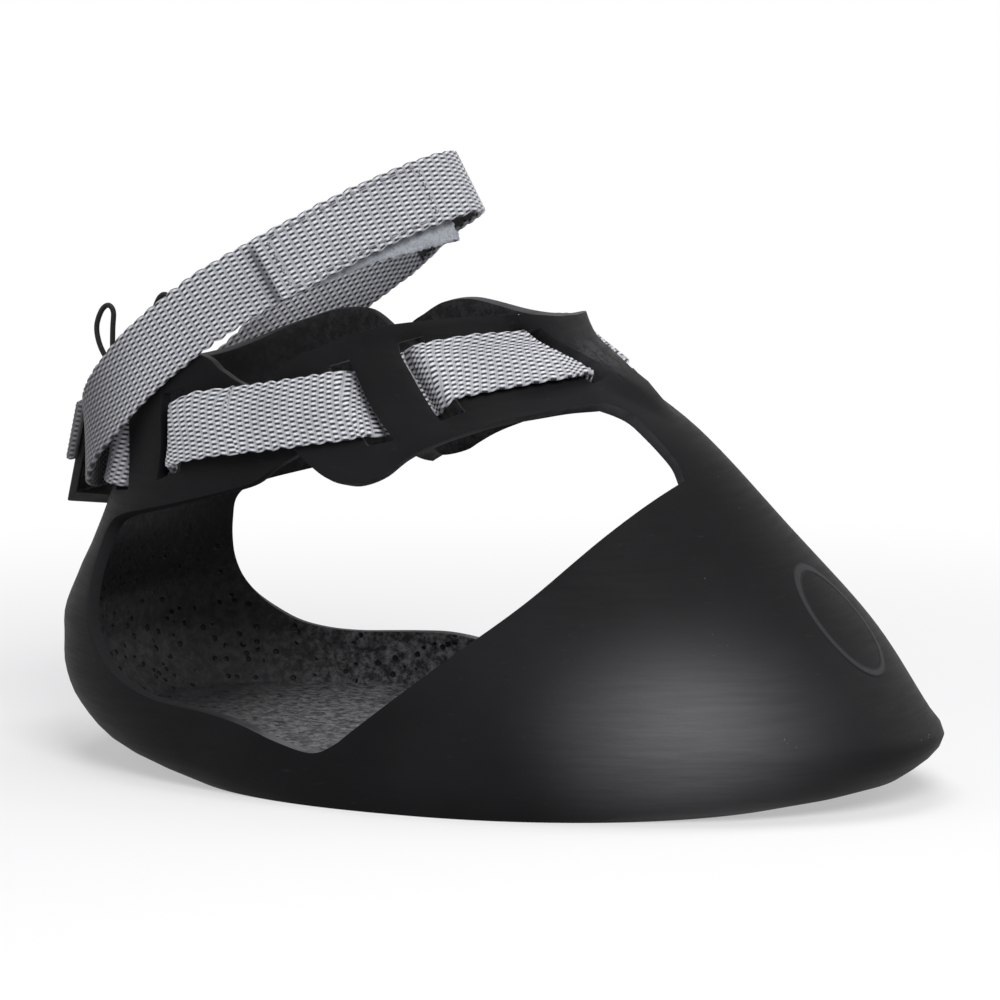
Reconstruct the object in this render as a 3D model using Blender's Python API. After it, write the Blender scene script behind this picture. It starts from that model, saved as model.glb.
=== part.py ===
"""A horse hoof boot: one black moulding with a laced collar, a tilted pastern ring strap and its keeper.

Metres, +Z up, +X towards the toe, the ground at z = 0, the origin under the middle of the boot's length. The
shape is worked out from the back of the heel and moved there at the end. The wall is symmetric about y = 0,
and its free edges differ a little from side to side.
"""

import math

import bmesh
import bpy
from mathutils import Vector
from mathutils.geometry import delaunay_2d_cdt

# Sizes of the moulding
BOOT_LENGTH = 0.240
BOOT_HEIGHT = 0.126
SOLE_WIDTH = 0.136
WALL = 0.0032
FLOOR_THICKNESS = 0.008
FLOOR_BLEND = 0.012

# Gaps and overruns
FIT_GAP = 0.0003
SLOT_CLEARANCE = 0.001
LACING_GAP = 0.0009
OVERRUN = 0.002

# Webbing and tapes
WEBBING_WIDTH = 0.018
WEBBING_THICKNESS = 0.002
SLOT_WIDTH = 0.0078
BAR_RISE = 0.0024
TAPE_THICKNESS = 0.0012
INNER_TAPE_THICKNESS = 0.0008
TAPE_MARGIN = 0.001
UNDER_DROP = 0.005
BESIDE_WING = 0.0014
STRAP_STEP = 0.003
LACING_STEP = 0.0018
LACING_COLUMNS = 6
HEEL_CORNER = 0.0018
HEEL_CORNER_REACH = 0.011

# Tread under the sole
TREAD_GROOVES = 8
TREAD_GROOVE_WIDTH = 0.005
TREAD_GROOVE_DEPTH = 0.002
TREAD_MARGIN = 0.012

# Rear keeper
KEEPER_WIDTH = 0.026
KEEPER_THICKNESS = 0.0025
KEEPER_FLANGE = 0.002
KEEPER_DEPTH = 0.0141
WRAP_WIDTH = 0.016
WRAP_RISE = 0.0034

# Pull loops
CORD_DIAMETER = 0.0016
PULL_LOOP_HEIGHT = 0.0207
PULL_LOOP_LEAN = 0.0095
PULL_LOOP_WIDTH = 0.0064
PULL_LOOP_SPREAD = 0.0305
KNOT_DIAMETER = 0.0056
KNOT_THICKNESS = 0.003

# Spacing of the mesh over the moulding
GRID = 0.0054
EDGE_STEP = 0.004

# Lines of the moulding: share of BOOT_HEIGHT up, then share of BOOT_LENGTH or of SOLE_WIDTH
TOE_LINE_shares = (
    (0, 0.875), (0.04, 0.955), (0.127, 1.0), (0.172, 0.983), (0.333, 0.925), (0.516, 0.833),
    (0.722, 0.725), (0.849, 0.628), (0.905, 0.591), (1.0, 0.572),
)
HEEL_LINE_shares = (
    (0, 0.158), (0.032, 0.092), (0.063, 0.054), (0.103, 0.029), (0.159, 0.008), (0.222, 0), (0.286, 0),
    (0.397, 0.025), (0.46, 0.042), (0.595, 0.067), (0.714, 0.079), (0.873, 0.092), (1.0, 0.095),
)
HALF_WIDTH_shares = (
    (0, 0.495), (0.06, 0.5), (0.16, 0.5), (0.476, 0.415), (0.675, 0.352), (0.794, 0.338), (1.0, 0.325),
)
WIDEST_shares = ((0, 0.51), (0.16, 0.48), (0.476, 0.42), (0.675, 0.31), (0.8, 0.26), (1.0, 0.25))
REAR_FULLNESS_shares = ((0, 2.4), (0.25, 2.4), (0.45, 2.8), (0.7, 2.6), (1.0, 2.6))
FRONT_FULLNESS_share = 2.05

NEAR, FAR = -1, 1

# Free edges of the moulding on each side: share of BOOT_LENGTH forward, share of BOOT_HEIGHT up
HEEL_WING_TOP_shares = {
    NEAR: (
        (0.079, 0.817), (0.104, 0.829), (0.146, 0.853), (0.1875, 0.873), (0.217, 0.881), (0.2375, 0.873),
        (0.25, 0.852),
    ),
    FAR: (
        (0.079, 0.817), (0.104, 0.824), (0.135, 0.848), (0.16, 0.87), (0.185, 0.888), (0.21, 0.905),
        (0.23, 0.914), (0.25, 0.918),
    ),
}
HEEL_WING_TIP_shares = {
    NEAR: (
        (0.25, 0.852), (0.275, 0.825), (0.308, 0.812), (0.34, 0.813), (0.366, 0.802), (0.374, 0.762),
        (0.364, 0.722), (0.342, 0.69), (0.315, 0.66), (0.293, 0.631), (0.25, 0.603),
    ),
    FAR: (
        (0.25, 0.918), (0.27, 0.916), (0.285, 0.904), (0.3, 0.884), (0.318, 0.86), (0.342, 0.838),
        (0.366, 0.808),
        (0.374, 0.762), (0.364, 0.722), (0.342, 0.69), (0.315, 0.66), (0.293, 0.631), (0.25, 0.603),
    ),
}
SIDE_OPENING_REAR_shares = {
    NEAR: (
        (0.25, 0.603), (0.191, 0.569), (0.126, 0.537), (0.104, 0.508), (0.0945, 0.46), (0.0905, 0.413),
        (0.091, 0.36), (0.099, 0.3), (0.118, 0.253), (0.142, 0.22), (0.171, 0.197), (0.208, 0.181),
        (0.271, 0.171), (0.317, 0.155), (0.3625, 0.127), (0.404, 0.111), (0.43, 0.13), (0.458, 0.171),
        (0.55, 0.31), (0.625, 0.426), (0.6875, 0.548), (0.717, 0.603), (0.742, 0.645),
    ),
    FAR: (
        (0.25, 0.603), (0.191, 0.569), (0.126, 0.537), (0.102, 0.508), (0.0925, 0.452), (0.088, 0.4),
        (0.0885, 0.354), (0.0945, 0.31), (0.107, 0.272), (0.128, 0.235), (0.152, 0.206), (0.182, 0.19),
        (0.215, 0.184), (0.25, 0.185), (0.284, 0.187), (0.32, 0.187), (0.356, 0.177), (0.395, 0.158),
        (0.43, 0.152), (0.462, 0.177), (0.55, 0.31), (0.625, 0.426), (0.6875, 0.548), (0.717, 0.603),
        (0.742, 0.645),
    ),
}
NECK_SIDE_shares = (
    (0.742, 0.645), (0.7303, 0.6785), (0.7153, 0.7076), (0.6979, 0.7373), (0.6782, 0.7665), (0.6627, 0.7824),
    (0.648, 0.7935),
)
FRONT_WING_shares = {
    NEAR: (
        (0.648, 0.7935), (0.6242, 0.7896), (0.5983, 0.7795), (0.5713, 0.768), (0.5487, 0.7554),
        (0.5095, 0.7271), (0.4751, 0.695), (0.45, 0.657), (0.425, 0.6385), (0.405, 0.6385), (0.387, 0.645),
        (0.37, 0.663), (0.3516, 0.69), (0.332, 0.722), (0.318, 0.76), (0.3125, 0.8), (0.322, 0.85), (0.3428, 0.884),
        (0.3649, 0.903), (0.3866, 0.92), (0.4024, 0.933), (0.4387, 0.951), (0.4883, 0.962), (0.5316, 0.966),
        (0.56, 0.962), (0.58, 0.95),
    ),
    FAR: (
        (0.648, 0.7935), (0.6242, 0.7896), (0.5983, 0.7795), (0.5713, 0.765), (0.53, 0.742), (0.48, 0.71),
        (0.4235, 0.6686), (0.3953, 0.6416), (0.3768, 0.6219), (0.3478, 0.6072), (0.323, 0.611),
        (0.304, 0.634), (0.292, 0.68), (0.2875, 0.74), (0.29, 0.8), (0.302, 0.855), (0.3201, 0.892),
        (0.3361, 0.911), (0.3497, 0.9273), (0.3633, 0.9396), (0.3838, 0.9483), (0.4045, 0.9507), (0.4255, 0.9469),
        (0.4469, 0.9413), (0.4689, 0.936), (0.4919, 0.9334), (0.5166, 0.9345), (0.55, 0.942), (0.58, 0.95),
    ),
}

# The heel wings pass inside the front wings: where they start to draw in, and where they are in
DRAW_IN_LENGTH_shares = (0.175, 0.308)
DRAW_IN_HEIGHT_shares = (0.49, 0.60)

# Slots for the lacing strap: share of half a turn from the toe at the lower and the upper end
SLOT_TURN_shares = {
    "front": (0.062, 0.122),
    "bridge_front": (0.302, 0.289),
    "bridge_rear": (0.389, 0.380),
    "heel_front": (0.645, 0.590),
    "heel_rear": (0.785, 0.795),
}
# Middle line of the lacing strap: share of half a turn from the toe, share of BOOT_HEIGHT up
LACING_LEVEL_shares = (
    (0, 0.884), (0.15, 0.879), (0.24, 0.869), (0.305, 0.845), (0.372, 0.8), (0.44, 0.774), (0.5, 0.752),
    (0.62, 0.717), (0.77, 0.66), (1.0, 0.65),
)

# Middle line of the ring strap, from the keeper to the front: shares of BOOT_LENGTH, SOLE_WIDTH, BOOT_HEIGHT
RING_PATH_shares = (
    (0.0388, 0, 0.633), (0.0383, 0.055, 0.631), (0.0418, 0.1125, 0.633), (0.0585, 0.206, 0.658),
    (0.0887, 0.2774, 0.7302), (0.1425, 0.3204, 0.8333), (0.1953, 0.3345, 0.9158), (0.25, 0.3232, 0.9923),
    (0.314, 0.2753, 1.0671), (0.3717, 0.1911, 1.1361), (0.4157, 0.0962, 1.183), (0.435, 0, 1.2),
)
RING_LEAN = math.radians(30)
RING_LEAN_shares = ((0, 0), (0.3, 0.06), (0.7, 0.58), (1.0, 1.0))
# Along one side of the ring, 0 at the keeper and 1 at the front
RING_LAP_START_share = 0.86
LAPPED_share = 0.97
RING_BESIDE_WING_shares = (0.12, 0.36, 0.6, 0.8)
CLOSING_END_share = 0.665
UNDER_END_share = 0.975
LOOP_TAPE_shares = (0.72, 0.965)
HOOK_TAPE_shares = (0.685, 0.93)
INNER_TAPE_shares = (0.73, 0.955)
KEEPER_LEVEL_shares = (0.523, 0.798)
PULL_LOOP_LEVEL_share = 0.772


def smooth(table, at):
    """A smooth line through a table of pairs, without overshoot."""
    xs = [row[0] for row in table]
    ys = [row[1] for row in table]
    if at <= xs[0]:
        return ys[0]
    if at >= xs[-1]:
        return ys[-1]
    steps = [xs[i + 1] - xs[i] for i in range(len(xs) - 1)]
    rises = [(ys[i + 1] - ys[i]) / steps[i] for i in range(len(xs) - 1)]
    slopes = [rises[0]]
    for before, after in zip(rises[:-1], rises[1:]):
        slopes.append(2 * before * after / (before + after) if before * after > 0 else 0)
    slopes.append(rises[-1])
    i = max(k for k in range(len(steps)) if xs[k] <= at)
    t = (at - xs[i]) / steps[i]
    return (
        (2 * t**3 - 3 * t**2 + 1) * ys[i]
        + (t**3 - 2 * t**2 + t) * steps[i] * slopes[i]
        + (3 * t**2 - 2 * t**3) * ys[i + 1]
        + (t**3 - t**2) * steps[i] * slopes[i + 1]
    )


def ease(t):
    """0 to 1 with level ends."""
    t = min(max(t, 0), 1)
    return t * t * (3 - 2 * t)


def through(points, parts):
    """A rounded line through points, with so many parts between two of them."""
    points = [Vector(p) for p in points]
    line = []
    for i in range(len(points) - 1):
        a, b = points[i], points[i + 1]
        before = points[i - 1] if i > 0 else a * 2 - b
        after = points[i + 2] if i + 2 < len(points) else b * 2 - a
        for k in range(parts):
            t = k / parts
            line.append(
                0.5 * (2 * a + (b - before) * t + (2 * before - 5 * a + 4 * b - after) * t**2
                       + (3 * a - before - 3 * b + after) * t**3)
            )
    line.append(points[-1])
    return line


def spaced(line, step):
    """Points about one step apart along a line, both ends kept."""
    line = [Vector(p) for p in line]
    along = [0]
    for a, b in zip(line[:-1], line[1:]):
        along.append(along[-1] + (b - a).length)
    count = max(1, round(along[-1] / step))
    points = []
    k = 0
    for i in range(count + 1):
        at = along[-1] * i / count
        while k < len(line) - 2 and along[k + 1] < at:
            k += 1
        span = along[k + 1] - along[k]
        points.append(line[k].lerp(line[k + 1], (at - along[k]) / span if span else 0))
    return points


# The wall of the moulding. turn is 0 at the toe, 1 at the heel; the near side has y below 0.

def section(z):
    """Toe, heel, half width, widest place and rear fullness of the wall at one height."""
    up = z / BOOT_HEIGHT
    toe = smooth(TOE_LINE_shares, up) * BOOT_LENGTH
    heel = smooth(HEEL_LINE_shares, up) * BOOT_LENGTH
    half = smooth(HALF_WIDTH_shares, up) * SOLE_WIDTH
    widest = smooth(WIDEST_shares, up) * BOOT_LENGTH
    return toe, heel, half, widest, smooth(REAR_FULLNESS_shares, up)


def skin(turn, z):
    """A point of the wall's outer face on the near side."""
    toe, heel, half, widest, rear_fullness = section(z)
    forward = math.cos(turn * math.pi)
    across = max(math.sin(turn * math.pi), 0)
    if forward >= 0:
        fullness = FRONT_FULLNESS_share
        x = widest + (toe - widest) * forward ** (2 / fullness)
    else:
        fullness = rear_fullness
        x = widest - (widest - heel) * (-forward) ** (2 / fullness)
    y = -half * across ** (2 / fullness)
    return Vector((x, 0 if turn in (0, 1) else y, z))


def skin_slopes(turn, z):
    """How the wall's outer face runs, along the turn and upwards."""
    small = 1e-3
    rise = small * BOOT_HEIGHT
    before, after = max(turn - small, 0), min(turn + small, 1)
    low, high = max(z - rise, 0), z + rise
    along = (skin(after, z) - skin(before, z)) / (after - before)
    if turn < small or turn > 1 - small:
        along = Vector((0, along.y, 0))
    return along, (skin(turn, high) - skin(turn, low)) / (high - low)


def wall_point(turn, z, depth):
    """A point so deep under the wall's outer face, or outside it where depth is negative."""
    along, up = skin_slopes(turn, z)
    inward = along.cross(up).normalized()
    if turn in (0, 1):
        inward = Vector((inward.x, 0, inward.z)).normalized()
    centre = Vector((BOOT_LENGTH / 2, 0, z))
    if inward.dot(centre - skin(turn, z)) < 0:
        inward = -inward
    return skin(turn, z) + inward * depth


def turn_at(x, z):
    """The turn at which the wall has this x."""
    low, high = 0.0, 1.0
    for _ in range(40):
        middle = (low + high) / 2
        if skin(middle, z).x > x:
            low = middle
        else:
            high = middle
    return (low + high) / 2


def draw_in(turn, z):
    """How far a heel wing lies inside the line of the front wing."""
    x = skin(turn, z).x / BOOT_LENGTH
    start, end = DRAW_IN_LENGTH_shares
    low, high = DRAW_IN_HEIGHT_shares
    share = ease((x - start) / (end - start)) * ease((z / BOOT_HEIGHT - low) / (high - low))
    return (WALL + FIT_GAP * 2) * share


# Slots and lacing strap on the wall

def lacing_level(turn):
    return smooth(LACING_LEVEL_shares, turn) * BOOT_HEIGHT


def lacing_width(turn):
    """The direction from the lower to the upper edge of the lacing strap."""
    small = 1e-3
    along, up = skin_slopes(turn, lacing_level(turn))
    slope = (lacing_level(turn + small) - lacing_level(turn - small)) / (2 * small)
    run = along + up * slope
    width = run.cross(up.cross(along)).normalized()
    return width if width.z > 0 else -width


def slot_turn(name, z):
    """The turn of a slot's middle at one height."""
    low, high = SLOT_TURN_shares[name]
    centre = (low + high) / 2
    return low + (high - low) * ((z - lacing_level(centre)) / (WEBBING_WIDTH * lacing_width(centre).z) + 0.5)


def slot_corners(name):
    """The four corners of a slot as turn and height."""
    centre = sum(SLOT_TURN_shares[name]) / 2
    along, _ = skin_slopes(centre, lacing_level(centre))
    half_turn = SLOT_WIDTH / 2 / along.length
    half_height = (WEBBING_WIDTH / 2 + SLOT_CLEARANCE) * lacing_width(centre).z
    corners = []
    for side, level in ((-1, -1), (1, -1), (1, 1), (-1, 1)):
        z = lacing_level(centre) + level * half_height
        turn = slot_turn(name, z) + side * half_turn
        slope = (lacing_level(turn + half_turn) - lacing_level(turn - half_turn)) / (2 * half_turn)
        corners.append((turn, z + slope * (turn - centre)))
    return corners


def through_slot(name, turn, z):
    """0 ahead of a slot, 1 behind it."""
    centre = sum(SLOT_TURN_shares[name]) / 2
    along, _ = skin_slopes(centre, lacing_level(centre))
    return ease((turn - slot_turn(name, z)) * along.length / (SLOT_WIDTH - 2.5 * SLOT_CLEARANCE) + 0.5)


def bar_rise(turn, z):
    """How far the bar between the two front slots stands out."""
    above = (z - lacing_level(turn)) / (WEBBING_WIDTH / 2 + SLOT_WIDTH)
    return BAR_RISE * (1 - through_slot("front", turn, z)) * ease(2.5 * (1 - abs(above)))


def lacing_depth(turn, z):
    """Depth of the lacing strap's middle under the wall's outer face."""
    outside = -(WEBBING_THICKNESS / 2 + LACING_GAP)
    inside = WALL + WEBBING_THICKNESS / 2 + LACING_GAP
    behind_bar = 1 - through_slot("front", turn, z)
    share = behind_bar
    share += through_slot("bridge_front", turn, z) - through_slot("bridge_rear", turn, z)
    share += through_slot("heel_front", turn, z) - through_slot("heel_rear", turn, z)
    deeper = draw_in(turn, z) if turn > sum(SLOT_TURN_shares["heel_front"]) / 2 else 0
    return outside + (inside + deeper - outside) * share + LACING_GAP * behind_bar


def across_step(turn):
    """The lacing strap's width direction as a step in turn and a step in height."""
    along, up = skin_slopes(turn, lacing_level(turn))
    width = lacing_width(turn)
    rest = width - up * width.z
    return rest.dot(along) / along.length_squared, width.z


def corner_draw(turn):
    """How far the upper edge is drawn in where the strap turns into the front heel slot."""
    along, _ = skin_slopes(turn, lacing_level(turn))
    turn_step, _ = across_step(turn)
    upper_end = SLOT_TURN_shares["heel_front"][1]
    away = abs(turn + turn_step * WEBBING_WIDTH / 2 - upper_end) * along.length
    return HEEL_CORNER * ease(1 - away / HEEL_CORNER_REACH)


def lacing_point(turn, across, side_of_web):
    """A point of the lacing strap on the near side; across runs from its lower to its upper edge."""
    turn_step, rise = across_step(turn)
    t = turn if turn in (0, 1) else turn + across * turn_step
    level = lacing_level(turn) + across * rise
    mirrored = 1
    if t < 0:
        t, mirrored = -t, -1
    if t > 1:
        t, mirrored = 2 - t, -1
    p = wall_point(t, level, lacing_depth(t, level) + side_of_web * WEBBING_THICKNESS / 2)
    return Vector((p.x, p.y * mirrored, p.z))


# Pull loops

def side_turn(across, z):
    """The turn of the rear wall at a distance from the middle plane."""
    low, high = 0.5, 1.0
    for _ in range(40):
        middle = (low + high) / 2
        if -skin(middle, z).y > across:
            low = middle
        else:
            high = middle
    return (low + high) / 2


def pull_loop_level():
    return PULL_LOOP_LEVEL_share * BOOT_HEIGHT


def pull_loop_hole():
    """The outline of a pull loop's hole as turn and height."""
    level = pull_loop_level()
    turn = side_turn(PULL_LOOP_SPREAD / 2, level)
    along, _ = skin_slopes(turn, level)
    half_width = CORD_DIAMETER + FIT_GAP * 3
    half_height = CORD_DIAMETER / 2 + FIT_GAP * 2
    outline = []
    for k in range(8):
        angle = (k + 0.5) * math.pi / 4
        outline.append((turn + half_width * math.cos(angle) / along.length,
                        level + half_height * math.sin(angle)))
    return outline


# Mesh helpers

def material(name, color, roughness):
    made = bpy.data.materials.new(name)
    made.use_nodes = True
    shader = made.node_tree.nodes["Principled BSDF"]
    shader.inputs["Base Color"].default_value = (*color, 1)
    shader.inputs["Roughness"].default_value = roughness
    shader.inputs["Metallic"].default_value = 0
    return made


def add_object(name, bm, finish, origin=(0, 0, 0), parent=None, smooth_angle=35):
    """An object from a bmesh in world places, its origin where given."""
    origin = Vector(origin)
    bmesh.ops.translate(bm, verts=bm.verts, vec=-origin)
    mesh = bpy.data.meshes.new(name)
    bm.to_mesh(mesh)
    bm.free()
    mesh.shade_smooth()
    mesh.set_sharp_from_angle(angle=math.radians(smooth_angle))
    made = bpy.data.objects.new(name, mesh)
    bpy.context.scene.collection.objects.link(made)
    made.data.materials.append(finish)
    made.location = origin
    if parent:
        made.parent = parent
        made.location = origin - parent.matrix_world.translation
    return made


def ribbon(sections, closed):
    """A flat band through its cross-sections, each a closed row of points."""
    bm = bmesh.new()
    rows = [[bm.verts.new(p) for p in row] for row in sections]
    count = len(rows[0])
    pairs = list(zip(rows[:-1], rows[1:]))
    if closed:
        pairs.append((rows[-1], rows[0]))
    for a, b in pairs:
        for k in range(count):
            bm.faces.new((a[k], a[(k + 1) % count], b[(k + 1) % count], b[k]))
    if not closed:
        bm.faces.new(rows[0])
        bm.faces.new(rows[-1][::-1])
    bmesh.ops.recalc_face_normals(bm, faces=bm.faces)
    return bm


# Boot shell

def edge_line(shares):
    """A free edge of the moulding, from its shares, as points of x and z."""
    points = [(x * BOOT_LENGTH, 0, z * BOOT_HEIGHT) for x, z in shares]
    return [(p.x, p.z) for p in spaced(through(points, 8), EDGE_STEP)]


def to_turns(line):
    return [(turn_at(x, z), z) for x, z in line]


def straight(a, b, step):
    """Even points from a to b, as turn and height, b left out."""
    count = max(1, round(step))
    return [(a[0] + (b[0] - a[0]) * k / count, a[1] + (b[1] - a[1]) * k / count) for k in range(count)]


def slot_outline(name):
    """A slot's outline with points about one edge step apart along its height."""
    a, b, c, d = slot_corners(name)
    steps = (c[1] - b[1]) / EDGE_STEP * 1.5
    return [a] + straight(b, c, steps) + [c] + straight(d, a, steps)


def wing_joint(side):
    """The line where a heel wing's tip is carried on, from its upper to its lower end."""
    upper, lower = HEEL_WING_TIP_shares[side][0], HEEL_WING_TIP_shares[side][-1]
    ends = [(turn_at(x * BOOT_LENGTH, z * BOOT_HEIGHT), z * BOOT_HEIGHT) for x, z in (upper, lower)]
    count = round((ends[0][1] - ends[1][1]) / EDGE_STEP)
    return straight(ends[0], ends[1], count) + [ends[1]]


def main_outline(side):
    """One side of the moulding, all but the heel wing's tip, as turn and height."""
    wing_top = to_turns(edge_line(HEEL_WING_TOP_shares[side]))
    wing_top[0] = (1.0, wing_top[0][1])
    joint = wing_joint(side)
    rear = to_turns(edge_line(SIDE_OPENING_REAR_shares[side]))
    neck = to_turns(edge_line(NECK_SIDE_shares))
    wing = to_turns(edge_line(FRONT_WING_shares[side]))
    wing[-1] = (0.0, wing[-1][1])
    toe_steps = wing[-1][1] / EDGE_STEP
    base_steps = 60
    heel_steps = wing_top[0][1] / EDGE_STEP
    outline = wing_top[:-1] + joint[:-1] + rear[:-1] + neck[:-1] + wing[:-1]
    outline += straight(wing[-1], (0.0, 0.0), toe_steps)
    outline += straight((0.0, 0.0), (1.0, 0.0), base_steps)
    outline += straight((1.0, 0.0), wing_top[0], heel_steps)
    return outline


def tip_outline(side):
    """The heel wing's tip, which lies inside the front wing."""
    joint = wing_joint(side)
    tip = to_turns(edge_line(HEEL_WING_TIP_shares[side]))
    return tip[:-1] + joint[::-1][:-1]


def inside(point, outline):
    x, y = point
    hit = False
    for (ax, ay), (bx, by) in zip(outline, outline[1:] + outline[:1]):
        if (ay > y) != (by > y) and x < (bx - ax) * (y - ay) / (by - ay) + ax:
            hit = not hit
    return hit


def near_outline(point, outline, distance):
    for (ax, ay), (bx, by) in zip(outline, outline[1:] + outline[:1]):
        dx, dy = bx - ax, by - ay
        t = ((point[0] - ax) * dx + (point[1] - ay) * dy) / (dx * dx + dy * dy)
        t = min(max(t, 0), 1)
        if math.hypot(point[0] - ax - t * dx, point[1] - ay - t * dy) < distance:
            return True
    return False


def flat_pattern(outline, holes):
    """Triangles over an outline with holes: points as turn and height, and their triangles."""
    stretch = BOOT_LENGTH
    flat = [(turn * stretch, z) for turn, z in outline]
    flat_holes = [[(turn * stretch, z) for turn, z in hole] for hole in holes]
    lines = [flat] + flat_holes
    points = []
    edges = []
    for line in lines:
        first = len(points)
        points += line
        edges += [(first + k, first + (k + 1) % len(line)) for k in range(len(line))]
    low = [min(p[k] for p in flat) for k in (0, 1)]
    high = [max(p[k] for p in flat) for k in (0, 1)]
    rows = round((high[1] - low[1]) / GRID)
    columns = round((high[0] - low[0]) / GRID)
    for i in range(1, rows):
        for j in range(1, columns):
            shift = (i % 2) / 2
            point = (low[0] + (j + shift - 0.25) * GRID, low[1] + i * (high[1] - low[1]) / rows)
            clear = inside(point, flat) and not any(inside(point, hole) for hole in flat_holes)
            if clear and not any(near_outline(point, line, GRID / 2) for line in lines):
                points.append(point)
    made = delaunay_2d_cdt([Vector(p) for p in points], edges, [], 0, BOOT_LENGTH * 1e-7)
    corners = [tuple(p) for p in made[0]]
    triangles = []
    for face in made[2]:
        middle = tuple(sum(corners[k][i] for k in face) / 3 for i in (0, 1))
        a, b, c = (Vector(corners[k]) for k in face)
        flattened = abs((b - a).cross(c - a)) < FIT_GAP * FIT_GAP
        if inside(middle, flat) and not flattened and not any(inside(middle, hole) for hole in flat_holes):
            triangles.append(face)
    return [(round(x / stretch, 6), y) for x, y in corners], triangles


def inner_height(z):
    """The height of the inner face's points: the floor takes the lowest of them up."""
    if z >= FLOOR_BLEND:
        return z
    return FLOOR_THICKNESS + z * (1 - FLOOR_THICKNESS / FLOOR_BLEND)


def is_heel_wing(turn, z, side):
    lower = DRAW_IN_HEIGHT_shares[0] * BOOT_HEIGHT
    return z > lower and turn > wing_joint(side)[0][0] - 1e-6


def shell_points(turn, z, side, tip):
    """The outer and the inner point of the wall at one place of the pattern."""
    deeper = draw_in(turn, z) if tip or is_heel_wing(turn, z, side) else 0
    return wall_point(turn, z, deeper - bar_rise(turn, z)), wall_point(turn, inner_height(z), deeper + WALL)


def add_wall(bm, side):
    """One side of the wall: both its faces and their edges. Gives the pairs of corners on the ground."""
    main_holes = [slot_outline(name) for name in SLOT_TURN_shares] + [pull_loop_hole()]
    known = {}
    edge_use = {}
    joint = wing_joint(side)

    def corner(turn, z, tip):
        """The key of a place, the two layers sharing the places on the joint."""
        key = (round(turn, 5), round(z / BOOT_HEIGHT, 5), tip)
        for place in joint:
            if abs(turn - place[0]) * BOOT_LENGTH < FIT_GAP / 3 and abs(z - place[1]) < FIT_GAP / 3:
                turn, z = place
                key = (turn, z / BOOT_HEIGHT, None)
        if key not in known:
            pair = shell_points(turn, z, side, tip)
            middle = turn in (0.0, 1.0)
            known[key] = [bm.verts.new((p.x, 0 if middle else p.y * -side, p.z)) for p in pair]
        return key

    for outline, holes, tip in ((main_outline(side), main_holes, False), (tip_outline(side), [], True)):
        corners, triangles = flat_pattern(outline, holes)
        for face in triangles:
            keys = [corner(*corners[k], tip) for k in face]
            bm.faces.new([known[key][0] for key in keys])
            bm.faces.new([known[key][1] for key in reversed(keys)])
            for a, b in zip(keys, keys[1:] + keys[:1]):
                edge_use[frozenset((a, b))] = edge_use.get(frozenset((a, b)), []) + [(a, b)]

    ground = []
    for pair in edge_use.values():
        if len(pair) > 1:
            continue
        a, b = pair[0]
        if a[0] == b[0] in (0.0, 1.0):
            continue
        if a[1] == b[1] == 0:
            ground += [a, b]
            continue
        bm.faces.new((known[a][0], known[a][1], known[b][1], known[b][0]))
    return [known[key] for key in sorted(set(ground))]


def boot_shell_mesh():
    """The moulding: the wall on both sides and the sole."""
    bm = bmesh.new()
    ground = add_wall(bm, NEAR)
    add_wall(bm, FAR)
    add_sole(bm, ground)
    bmesh.ops.remove_doubles(bm, verts=bm.verts, dist=BOOT_LENGTH * 1e-6)
    bmesh.ops.recalc_face_normals(bm, faces=bm.faces)
    return bm


def add_sole(bm, base):
    """The flat bottom and the floor, as strips from side to side."""
    for layer in (0, 1):
        rows = []
        for pair in base:
            near = pair[layer]
            rows.append((bm.verts.new(near.co), bm.verts.new((near.co.x, -near.co.y, near.co.z))))
        for a, b in zip(rows[:-1], rows[1:]):
            bm.faces.new((a[0], a[1], b[1], b[0]))


def tread_cutter():
    """The grooves across the flat bottom, as one cutter."""
    bm = bmesh.new()
    _, heel, _, _, _ = section(0)
    first, last = heel + TREAD_MARGIN, BOOT_LENGTH - heel - TREAD_MARGIN
    for k in range(TREAD_GROOVES):
        x = first + (last - first) * (k + 0.5) / TREAD_GROOVES
        reach = -max(skin(turn_at(x + side * TREAD_GROOVE_WIDTH / 2, 0), 0).y for side in (NEAR, FAR))
        reach -= TREAD_MARGIN
        box = bmesh.ops.create_cube(bm, size=1)["verts"]
        bmesh.ops.scale(bm, verts=box, vec=(TREAD_GROOVE_WIDTH, reach * 2, TREAD_GROOVE_DEPTH + OVERRUN))
        bmesh.ops.translate(bm, verts=box, vec=(x, 0, (TREAD_GROOVE_DEPTH - OVERRUN) / 2))
    cutter = add_object("tread_cutter", bm, material("cutter", (1, 0, 0), 1))
    cutter.hide_render = True
    cutter.display_type = "WIRE"
    return cutter


def boot_shell(finish):
    shell = add_object("boot_shell", boot_shell_mesh(), finish)
    cut = shell.modifiers.new("tread", "BOOLEAN")
    cut.operation = "DIFFERENCE"
    cut.solver = "EXACT"
    cut.object = tread_cutter()
    return shell


# Lacing strap

def even_turns(step):
    """Turns from the heel to the toe, one step apart along the lacing strap."""
    count = 400
    turns = [1 - k / count for k in range(count + 1)]
    points = [lacing_point(t, 0, 0) for t in turns]
    along = [0]
    for a, b in zip(points[:-1], points[1:]):
        along.append(along[-1] + (b - a).length)
    rows = round(along[-1] / step)
    picked = []
    k = 0
    for i in range(rows + 1):
        at = along[-1] * i / rows
        while k < count - 1 and along[k + 1] < at:
            k += 1
        share = (at - along[k]) / (along[k + 1] - along[k])
        picked.append(turns[k] + (turns[k + 1] - turns[k]) * share)
    picked[0], picked[-1] = 1.0, 0.0
    return picked


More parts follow.
